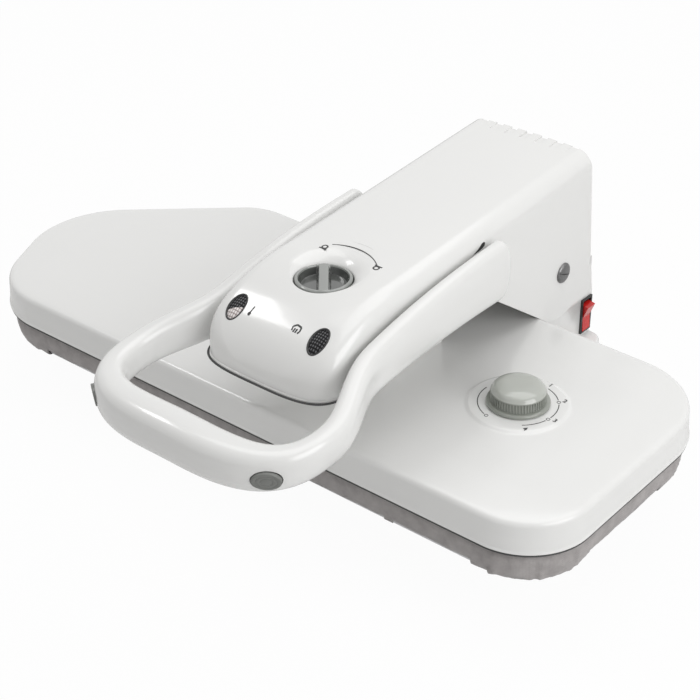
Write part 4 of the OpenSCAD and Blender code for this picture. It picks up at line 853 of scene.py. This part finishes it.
def button_loop(hand, grow, depth, share=1.0):
    """An oval round a button, depth beyond the skin along its direction; hand mirrors it."""
    long_way = np.cross((0, 0, 1), button_out)
    long_way /= np.linalg.norm(long_way)
    high_way = np.cross(button_out, long_way)
    points = [button_at + depth * button_out + share * (BUTTON_W / 2 + grow) * math.cos(t) * high_way
              + share * (BUTTON_L / 2 + grow) * math.sin(t) * long_way for t in around(64)]
    return [(hand * x, y, z) for x, y, z in points]


carve(handle, [skin("pocket", [button_loop(hand, BUTTON_GAP - BUTTON_IN, depth) for depth in (-5.5, 16)])
               for hand in (-1, 1)])
carve(handle, [side_rod("shaft_bore", GRIP_PIVOT, SHAFT_BORE, 7, hand * (HANDLE_X - 8.5))
               for hand in (-1, 1)])
handle.data.materials.clear()
fit(smooth(handle, 35), "handle_loop")
BUTTON_PROFILE = [(1, -2.5), (1, 0.1), (0.97, 0.45), (0.93, 0.6), (0.74, 0.66), (0.70, 0.35), (0.66, 0.67),
                  (0.44, 0.7), (0.40, 0.4), (0.36, 0.7), (0.03, 0.72)]
for hand, name in ((-1, "steam_button_left"), (1, "steam_button_right")):
    rings = [button_loop(hand, -BUTTON_IN, depth, share) for share, depth in BUTTON_PROFILE]
    fit(smooth(skin(name + "_cap", rings), 60), name)
print("handle: %d faces, with 2 steam buttons" % len(handle.data.polygons))

# %% [markdown]
# Geometry Nodes set out what repeats. The tree puts copies of one small part on a circle, each turned
# to face outwards. It reads its sizes from named inputs and ends in real mesh.

# %% Repeating parts
RING = bpy.data.node_groups.new("ring_of_parts", "GeometryNodeTree")
for label, kind in (("Geometry", "Geometry"), ("Part", "Object"), ("Finish", "Material"), ("Count", "Int"),
                    ("Radius", "Float")):
    RING.interface.new_socket(name=label, in_out="INPUT", socket_type="NodeSocket" + kind)
RING.interface.new_socket(name="Geometry", in_out="OUTPUT", socket_type="NodeSocketGeometry")
enter = RING.nodes.new("NodeGroupInput").outputs
circle = node(RING, "GeometryNodeMeshCircle", in_Vertices=enter["Count"], in_Radius=enter["Radius"])
step = maths(RING, "DIVIDE", 2 * math.pi, enter["Count"])
angle = maths(RING, "MULTIPLY", RING.nodes.new("GeometryNodeInputIndex").outputs[0], step)
facing = node(RING, "ShaderNodeCombineXYZ", in_2=angle)
part = node(RING, "GeometryNodeObjectInfo", transform_space="ORIGINAL", in_Object=enter["Part"])
copies = node(RING, "GeometryNodeInstanceOnPoints", in_Points=circle.outputs["Mesh"],
              in_Instance=part.outputs["Geometry"], in_Rotation=facing.outputs[0])
real = node(RING, "GeometryNodeRealizeInstances", in_0=copies.outputs[0])
coloured = node(RING, "GeometryNodeSetMaterial", in_Geometry=real.outputs[0], in_Material=enter["Finish"])
node(RING, "NodeGroupOutput", in_0=coloured.outputs[0])


def ring_of(name, part, material, centre, **values):
    """The tree's result as one plain mesh round the centre; part is removed."""
    holder = new_object(name, bpy.data.meshes.new(name), material)
    modifier = holder.modifiers.new("repeat", "NODES")
    modifier.node_group = RING
    sockets = {item.name: item.identifier for item in RING.interface.items_tree if item.in_out == "INPUT"}
    for key, value in {"Part": part, "Finish": finishes[material], **values}.items():
        modifier[sockets[key]] = value
    settled(holder)
    holder.data.transform(Matrix.Translation(centre))
    bpy.data.objects.remove(part)
    return holder


print("repeats: %d nodes" % len(RING.nodes))

# %% [markdown]
# The thermostat knob: a flat foot ring, a skirt of fine ribs and a low glossy dome, finished lighter than the
# skirt as a painted reflection. One rib is a small rounded bar, and the ring tree sets sixty of them round
# the skirt.

# %% Thermostat knob
KNOB_Z, KNOB_RIBS, SKIRT_R = cover_top + DIAL_H + 0.3, 60, 22.4
RIB_DEEP, RIB_WIDE, RIB_FROM, RIB_TO, DOME_FROM = 0.6, 0.62, 3.4, 11.1, 12.5
knob_side = [(0.02, 0), (25.6, 0), (26.4, 0.5), (26.5, 1.6), (26.1, 2.5), (25.2, 3.0), (23.6, 3.2),
             (22.6, 3.3), (SKIRT_R, 3.8), (SKIRT_R - 0.4, 10.8), (22.9, 11.2), (23.0, 11.8), (22.7, 12.4)]
knob_dome = dense([(22.2, 12.9), (21.0, 14.9), (18.4, 16.6), (13, 17.6), (7, 17.9), (0.02, 18)], 4)
knob_body = lathe("knob_body", [(r, KNOB_Z + z) for r, z in knob_side + knob_dome], KNOB_AT)
rib = bpy.data.meshes.new("rib")
rib_points = [(RIB_DEEP * MM * math.cos(t), RIB_WIDE * MM * math.sin(t), z * MM)
              for z in (RIB_FROM, RIB_TO) for t in around(8)]
rib_faces = [(i, (i + 1) % 8, (i + 1) % 8 + 8, i + 8) for i in range(8)]
rib.from_pydata(rib_points, [], rib_faces + [tuple(range(7, -1, -1)), tuple(range(8, 16))])
ribs = ring_of("knob_ribs", new_object("rib", rib), "knob_plastic", at(*KNOB_AT, KNOB_Z),
               Count=KNOB_RIBS, Radius=(SKIRT_R + 0.15) * MM)
knob = joined("knob", [knob_body, ribs], "knob_plastic")
# Painted reflection: the dome takes a lighter, glossier finish than the skirt.
second_finish(knob, "knob_dome_painted_reflection", lambda face: face.center.z > (KNOB_Z + DOME_FROM) * MM)
fit(smooth(knob, 40), "thermostat_knob")
print("knob: %d ribs" % KNOB_RIBS)

# %% [markdown]
# The filler cap is a height map on a polar grid: a narrow rim, two deep finger wells and a round bar between
# them. A soft step turns every edge, so nothing in it is sharp. The floors of the wells are much darker:
# painted shade.

# %% Filler cap
CAP_TOP, BAR_HALF, WELL_DEEP, BAR_TURN = CAP_Z + 10, 4.6, 7.0, math.radians(130)
RIM_W, STEM_R, STEM_L = 1.8, 10.2, 8


def soft_step(value, width):
    part = np.clip(value / width + 0.5, 0, 1)
    return part * part * (3 - 2 * part)


def cap_ring(radius, z=None, count=192):
    x, y = radius * np.cos(around(count)), radius * np.sin(around(count))
    beside = np.abs(y * math.cos(BAR_TURN) - x * math.sin(BAR_TURN))
    if z is None:
        well = soft_step(beside - BAR_HALF, 2.2) * soft_step(CAP_R - 3.4 - radius, 2.4)
        z = CAP_TOP + 0.5 - WELL_DEEP * well - 0.5 * np.minimum(1, beside / BAR_HALF) ** 2 \
            - 0.9 * max(0.0, (radius - CAP_R + RIM_W) / RIM_W) ** 2
    return np.column_stack([x, CAP_Y + y, np.broadcast_to(z, count)])


cap_rings = [cap_ring(r) for r in [0.03, *np.linspace(0.8, CAP_R - RIM_W, 40),
                                   *(CAP_R - RIM_W + RIM_W * np.sin(np.linspace(0.2, 1, 7) * math.pi / 2))]]
cap_rings += [cap_ring(r, z) for r, z in ((CAP_R, CAP_TOP - 2), (CAP_R, CAP_Z), (STEM_R, CAP_Z),
                                          (STEM_R, CAP_Z - STEM_L), (0.03, CAP_Z - STEM_L))]
cap = skin("filler_cap_top", cap_rings, "cap_plastic")
# Painted shade: the floors of the wells take a much darker finish than the cap.
second_finish(cap, "well_painted_shade", lambda face: face.center.z < (CAP_TOP - 1.6) * MM and face.normal.z > 0.2)
fit(smooth(cap, 50), "filler_cap")
print("filler cap: %d rings" % len(cap_rings))

# %% [markdown]
# The board's cloth cover. Its form is a closed pillow over the pad and the tray's rim. The sheet is
# remeshed into even squares, held on top and at its hem, made a little too large and blown up from
# inside, so the band at the side buckles as cloth does.

# %% Board cover: the sheet and its simulation
HEM_Z, COVER_TOP_Z, CLOTH_T, SQUARES = 44.4, 72.6, 0.9, 2.9
FRAMES, BAND_IN = 20, 6
band = dense([(24, 44.6), (16, 44.4), (9.2, HEM_Z), (7.3, 46), (6.3, 53), (6, 60), (6.4, 66.3), (8, 70.0),
              (12, 71.7), (20, 72.2), (50, COVER_TOP_Z)], 5)
cloth = skin("cloth_cover", outline_rings(band, 0, 300))
even_mesh = cloth.modifiers.new("even", "REMESH")
even_mesh.mode, even_mesh.voxel_size, even_mesh.adaptivity = "VOXEL", SQUARES * MM, 0
settled(cloth)
start = working(cloth.data)
held = cloth.vertex_groups.new(name="held")
for index, z in enumerate(start[:, 2]):
    held.add([index], float(np.clip(max((z - 70.8) / 1.2, (47.0 - z) / 1.5), 0, 1)), "REPLACE")
blow = cloth.modifiers.new("blow", "CLOTH").settings
for key, value in dict(
        quality=5, mass=0.2, tension_stiffness=15, compression_stiffness=15, shear_stiffness=5,
        bending_stiffness=0.05, shrink_min=-0.06, shrink_max=-0.06, use_pressure=True,
        uniform_pressure_force=4, vertex_group_mass="held").items():
    setattr(blow, key, value)
blow.effector_weights.gravity = 0
for step in range(1, FRAMES + 1):
    bpy.context.scene.frame_set(step)
settled(cloth)
bpy.context.scene.frame_set(1)
cloth.vertex_groups.clear()
move = working(cloth.data) - start
print("board cover: the cloth moved by up to %.1f mm" % np.abs(move).max())

# %% [markdown]
# The pad under the sheet is firm, so the sheet may bulge out but hardly sink in. Its movement along
# the outline's normals is kept within limits, evened out over neighbours and let go at the hem.

# %% Board cover: bulges
IN_MOST, OUT_MOST, DOWN_MOST = 0.3, 2.4, 0.6
edge_line = outline(BAND_IN, 720)
edge_run = np.concatenate([[0], np.cumsum(np.linalg.norm(np.diff(edge_line, axis=0), axis=1))])
total = edge_run[-1]


def nearest_edge(x, y):
    return np.argmin(((edge_line - (x, y)) ** 2).sum(1))


nearest = np.array([nearest_edge(*p) for p in start[:, :2]])
run, turns = edge_run[nearest], around(720)[nearest]
normals = np.column_stack([np.cos(turns), np.sin(turns)])
away = np.clip((move[:, :2] * normals).sum(1), -IN_MOST, OUT_MOST)
ends = np.array([edge.vertices[:] for edge in cloth.data.edges])
for _ in range(8):
    total_near, count_near = np.zeros(len(away)), np.zeros(len(away))
    for a, b in ((0, 1), (1, 0)):
        np.add.at(total_near, ends[:, a], away[ends[:, b]])
        np.add.at(count_near, ends[:, a], 1)
    away = (away + total_near / np.maximum(1, count_near)) / 2
above_hem = np.clip((start[:, 2] - 45.5) / 5, 0, 1)
shaped = start.copy()
shaped[:, :2] += normals * (away * above_hem)[:, None]
shaped[:, 2] += np.clip(move[:, 2], -DOWN_MOST, DOWN_MOST) * above_hem
print("board cover: bulges of up to %.1f mm" % away.max())

# %% [markdown]
# Creases are pressed in where the cover is pulled round the nose and the corners, and a few sharp
# tucks stand at the hem. Each is a soft groove with a ridge beside it, leaning a little. Then the
# underside is opened, and the sheet gets its thickness.

# %% Board cover: creases and hem
SIDE_CLOTH, HEM_OPEN = 42.0, 14
TUCKS = [(189.5, 3.8, 0.5), (229, 20.8, 0.0), (244.6, 53, 0.4), (245.8, 100.8, 0.9), (-60, 1, -0.4),
         (-190, 60, 0.6), (100, 1, 0.3)]
height = shaped[:, 2].copy()
from_edge = np.linalg.norm(edge_line[nearest] - shaped[:, :2], axis=1)
on_band = np.clip((COVER_TOP_Z - 1.2 - height) / 4, 0, 1) * np.clip(1 - from_edge / 9, 0, 1)


def bell(value, width):
    return np.exp(-(value / width) ** 2)


def beside(spot, lean, middle):
    """Distance along the edge from a leaning line through the spot."""
    return (run - spot - lean * (height - middle) + total / 2) % total - total / 2


rng = np.random.default_rng(11)
spots = list(rng.uniform(0, total, 90))
for turn_deg in (180, 215, 270, 300, 330):
    spots += list(edge_run[int(math.radians(turn_deg) / (2 * math.pi) * 720)] + rng.normal(0, 35, 9))
push = np.zeros(len(shaped))
for spot in spots:
    lean, wide = rng.uniform(-0.9, 0.9), rng.uniform(2.2, 4.5)
    deep, middle, tall = rng.uniform(0.3, 1.1), rng.uniform(46, 64), rng.uniform(7, 16)
    gap = beside(spot, lean, middle)
    push += deep * (0.5 * bell(gap - 1.7 * wide, wide) - bell(gap, wide)) * bell(height - middle, tall)
push *= np.clip((height - 43) / 9, 0.2, 1)
for x, y, lean in TUCKS:
    gap = beside(edge_run[nearest_edge(x, y)], lean, 46)
    tuck = 1.4 * bell(gap - 4.2, 2.8) + 0.8 * bell(gap + 4.2, 3) - 1.5 * bell(gap, 2.0)
    push += tuck * bell(height - 45, 10)
shaped[:, :2] += normals * (np.clip(push, -1.3, 2.2) * on_band)[:, None]
hem_wave = 0.42 * np.sin(run / 19.0) + 0.12 * np.sin(run / 11.3 + 1.0)
shaped[:, 2] += hem_wave * np.clip((52 - height) / 8, 0, 1)
shaped[:, 2] = np.minimum(shaped[:, 2], COVER_TOP_Z + 0.1)
put_back(cloth.data, shaped)
from_edge = np.linalg.norm(edge_line[nearest] - shaped[:, :2], axis=1)


def open_under(bm):
    """Deletes the middle of the underside, and gives the area of what is left."""
    bm.verts.ensure_lookup_table()
    under = [bm.verts[i] for i in np.flatnonzero((from_edge > HEM_OPEN) & (shaped[:, 2] < 48))]
    bmesh.ops.delete(bm, geom=under, context="VERTS")
    return sum(face.calc_area() for face in bm.faces)


cloth_area = reworked(cloth.data, open_under)
thick = cloth.modifiers.new("thick", "SOLIDIFY")
thick.thickness, thick.offset = CLOTH_T * MM, -1
settled(cloth)
cloth.data.shade_smooth()
fit(cloth, "board_cover")
foam_side = dense([(11, 60.3), (9.6, 62.5), (10.2, 66.0), (12.5, 68.6), (20, 69.6), (45, 70.3)], 4)
foam = fit(smooth(skin("foam_slab", outline_rings(foam_side, 0, 240)), 40), "foam_pad")
print("board cover: %d faces, %.3f m2 of cloth" % (len(cloth.data.polygons), cloth_area))

# %% [markdown]
# Print is a thin layer of ink on the moulding. A stroke is a flat ribbon laid along a line of the plan,
# and each of its points takes its height from the surface under it. The dial has arcs, small rings and
# plain numbers. The arm has the cap's lock marks, a thermometer and a small iron.

# %% Printed marks
INK_T, INK_SUNK = 0.12, 0.05
MARK_R, FIGURE_R, DIAL_LINE, DIAL_RING, FIGURE_H = 33.0, 38.2, 0.75, 0.55, 4.6
LOCK_R, LOCK_LINE, ICON_W = 42.5, 0.85, 1.35
dial_level = cover_top + DIAL_H


def on_dial(x, y):
    return dial_level


def stroke(line, wide, surface):
    """A ribbon of ink along a line [(x, y)] of the plan, laid on surface(x, y)."""
    line = np.asarray(line, float)
    along = np.gradient(line, axis=0)
    along /= np.linalg.norm(along, axis=1)[:, None]
    rings = []
    for point, offset in zip(line, np.column_stack([-along[:, 1], along[:, 0]]) * wide / 2):
        left, right = point - offset, point + offset
        on_left, on_right = float(surface(*left)), float(surface(*right))
        rings.append([(*left, on_left - INK_SUNK), (*right, on_right - INK_SUNK), (*right, on_right + INK_T),
                      (*left, on_left + INK_T)])
    return skin("stroke", rings)


def bow(centre, radius, first, last, count=40):
    turns = np.radians(np.linspace(first, last, count))
    return np.column_stack([centre[0] + radius * np.cos(turns), centre[1] + radius * np.sin(turns)])


def icon_line(a, b, wide=ICON_W):
    return stroke(np.linspace(a, b, 8), wide, arm_surface)


def numeral(text, place):
    """A printed figure on the dial, centred at place, read from the handle's side."""
    curve = bpy.data.curves.new("numeral", "FONT")
    curve.body, curve.size, curve.extrude, curve.offset = text, FIGURE_H * 1.4 * MM, INK_T / 2 * MM, 0.14 * MM
    curve.align_x, curve.align_y = "CENTER", "CENTER"
    holder = new_object("numeral", curve)
    mesh = bpy.data.meshes.new_from_object(holder.evaluated_get(bpy.context.evaluated_depsgraph_get()))
    bpy.data.objects.remove(holder)
    mesh.transform(Matrix.Translation(at(*place, dial_level + INK_T / 2)))
    return new_object("numeral", mesh)


dial_ink = [stroke(bow(KNOB_AT, MARK_R, first, last), DIAL_LINE, on_dial)
            for first, last in ((176, 249), (76, 44), (33, -4), (-14, -50))]
for turn_deg in (254, 38.5, -9):
    ring_at = bow(KNOB_AT, MARK_R, turn_deg, turn_deg, 1)[0]
    dial_ink.append(stroke(bow(ring_at, 1.5, 0, 350, 20), DIAL_RING, on_dial))
for text, turn_deg in (("1", 80), ("2", 41), ("3", -5), ("4", -47)):
    dial_ink.append(numeral(text, bow(KNOB_AT, FIGURE_R, turn_deg, turn_deg, 1)[0]))
ride_on(joined("dial_print", dial_ink, "ink_grey"), "plate_cover")

arm_ink = [stroke(bow((0, CAP_Y), LOCK_R, 50, 121, 60), LOCK_LINE, arm_surface)]
for hand, x, y in ((-1, -24.5, 78.5), (1, 29.5, 77.0)):
    arm_ink.append(stroke(bow((x, y), 2.3, 0, 350, 24), ICON_W, arm_surface))
    arm_ink.append(icon_line((x - 3.6, y + hand * 2.9), (x + 3.6, y + hand * 2.9)))
bulb = (-27.2, -9.6)
arm_ink += [icon_line(bulb, (-26.4, -3.4), 1.1), stroke(bow(bulb, 0.8, 0, 350, 16), 1.3, arm_surface)]
iron = [(15.8, -8.6), (15.2, -5.8), (17.8, -3.6), (22.4, -4.4), (23.0, -7.8), (21.6, -9.2)]
arm_ink += [icon_line(a, b) for a, b in zip(iron, iron[1:])]
arm_ink += [icon_line((x, -9.4), (x + 0.3, -6.4)) for x in (17.6, 19.6)]
print("print: %d strokes and figures" % (len(dial_ink) + len(arm_ink)))
ride_on(joined("arm_print", arm_ink, "ink_grey"), "arm_housing")

# %% [markdown]
# The pivot screws are domed steel heads with one driver slot. Each is turned on its side and its slot
# is cut across the dome.

# %% Pivot screws
SCREW_SLOT, SCREW_TURN, STUD_R, STUD_L = 1.7, math.radians(22), 4.0, 6
screw_low, screw_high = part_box("pivot_screws")
screw_r = min(9.5, (screw_high.y - screw_low.y) / 2 / MM)
screw_h = (screw_high.x - arm_mid_x) / MM - ARM_HALF
screw = [(STUD_R, -STUD_L), (STUD_R, 0.05), (screw_r, 0.05), (screw_r, 0.9), (screw_r - 0.4, 1.6),
         (screw_r - 1.6, screw_h - 0.7), (screw_r - 3.4, screw_h - 0.2), (screw_r * 0.3, screw_h),
         (0.03, screw_h)]
heads = []
for hand in (-1, 1):
    head = lathe("screw_head", screw, (0, 0), 64)
    slot = block("screw_slot", (-SCREW_SLOT / 2, -screw_r - 1, screw_h - 1.4),
                 (SCREW_SLOT / 2, screw_r + 1, screw_h + 2))
    turned = Matrix.Rotation(hand * math.pi / 2, 4, "Y") @ Matrix.Rotation(-hand * SCREW_TURN, 4, "Z")
    for part in (head, slot):
        part.data.transform(Matrix.Translation(at(hand * ARM_HALF, *PIVOT)) @ turned
                            @ Matrix.Translation(-at(0, 0, 0)))
    heads.append(carve(head, [slot]))
fit(smooth(joined("pivot_heads", heads, "screw_steel"), 35), "pivot_screws")
print("pivot screws: 2, %.0f mm across" % (2 * screw_r))

# %% [markdown]
# Behind the head, the base draws in to little more than the width of its column, and the column's back
# stands close behind the switch. The construction pieces are copied and their points moved by one
# rule, so the walls, the bottom plate, the feet and the screws stay together. Loose parts such as feet
# keep their own form and move as a whole.

# %% Base and column
PAN_RIGHT, PAN_FROM, PAN_REAR = 165.0, 130.0, 383.0
BACK_RIGHT, BACK_SQUEEZE = 64.0, 0.16
BACK_LEVELS, BACK_FROM = (86.0, 113.0), (358.5, 353.0)


def drawn_in(points, sideways):
    """Points of the base moved forward at the back and, if sideways, in towards the column."""
    moved = points.copy()
    behind = np.clip((points[:, 1] - PAN_FROM) / (PAN_REAR - PAN_FROM), 0, 1)
    back_from = np.interp(points[:, 2], BACK_LEVELS, BACK_FROM)
    moved[:, 1] = np.minimum(points[:, 1], back_from) + BACK_SQUEEZE * np.maximum(0, points[:, 1] - back_from)
    if sideways:
        right = points[:, 0] > 0
        moved[right, 0] *= (1 - (1 - BACK_RIGHT / PAN_RIGHT) * behind)[right]
    return moved


def cut_levels(bm):
    """Cuts edges where the back bends, so that its walls can follow."""
    for level in BACK_LEVELS:
        bmesh.ops.bisect_plane(bm, geom=bm.verts[:] + bm.edges[:] + bm.faces[:],
                               plane_co=(0, 0, level * MM), plane_no=(0, 0, 1))


def loose_parts(mesh):
    """For each point, the lowest number among the points that it is joined to."""
    ends = np.array([edge.vertices[:] for edge in mesh.edges])
    part, last = np.arange(len(mesh.vertices)), None
    while last is None or (part != last).any():
        last = part.copy()
        for column in (0, 1):
            np.minimum.at(part, ends[:, column], last[ends].min(axis=1))
    return part


def redrawn(name, sideways, whole_parts):
    """A copy of a construction piece with its points, or its loose parts, drawn in."""
    mesh = outward(nodes[name].data.copy())
    if whole_parts:
        points, part = working(mesh), loose_parts(mesh)
        for label in np.unique(part):
            own = points[part == label]
            middle = (own.min(axis=0) + own.max(axis=0)) / 2
            points[part == label] += drawn_in(middle[None, :], sideways) - middle
    else:
        reworked(mesh, cut_levels)
        points = drawn_in(working(mesh), sideways)
    put_back(mesh, points)
    fit(smooth(new_object(name + "_drawn_in", mesh, slots[name]), 32), name)


for name, sideways, whole_parts in (
        ("base_pan", True, False), ("base_plate", True, False), ("rubber_feet", True, True),
        ("base_screws", True, True), ("column_cover", False, False), ("column_bracket", False, False),
        ("cord_gland", False, True)):
    redrawn(name, sideways, whole_parts)
print("base: right side drawn in to %.0f mm at the back" % BACK_RIGHT)
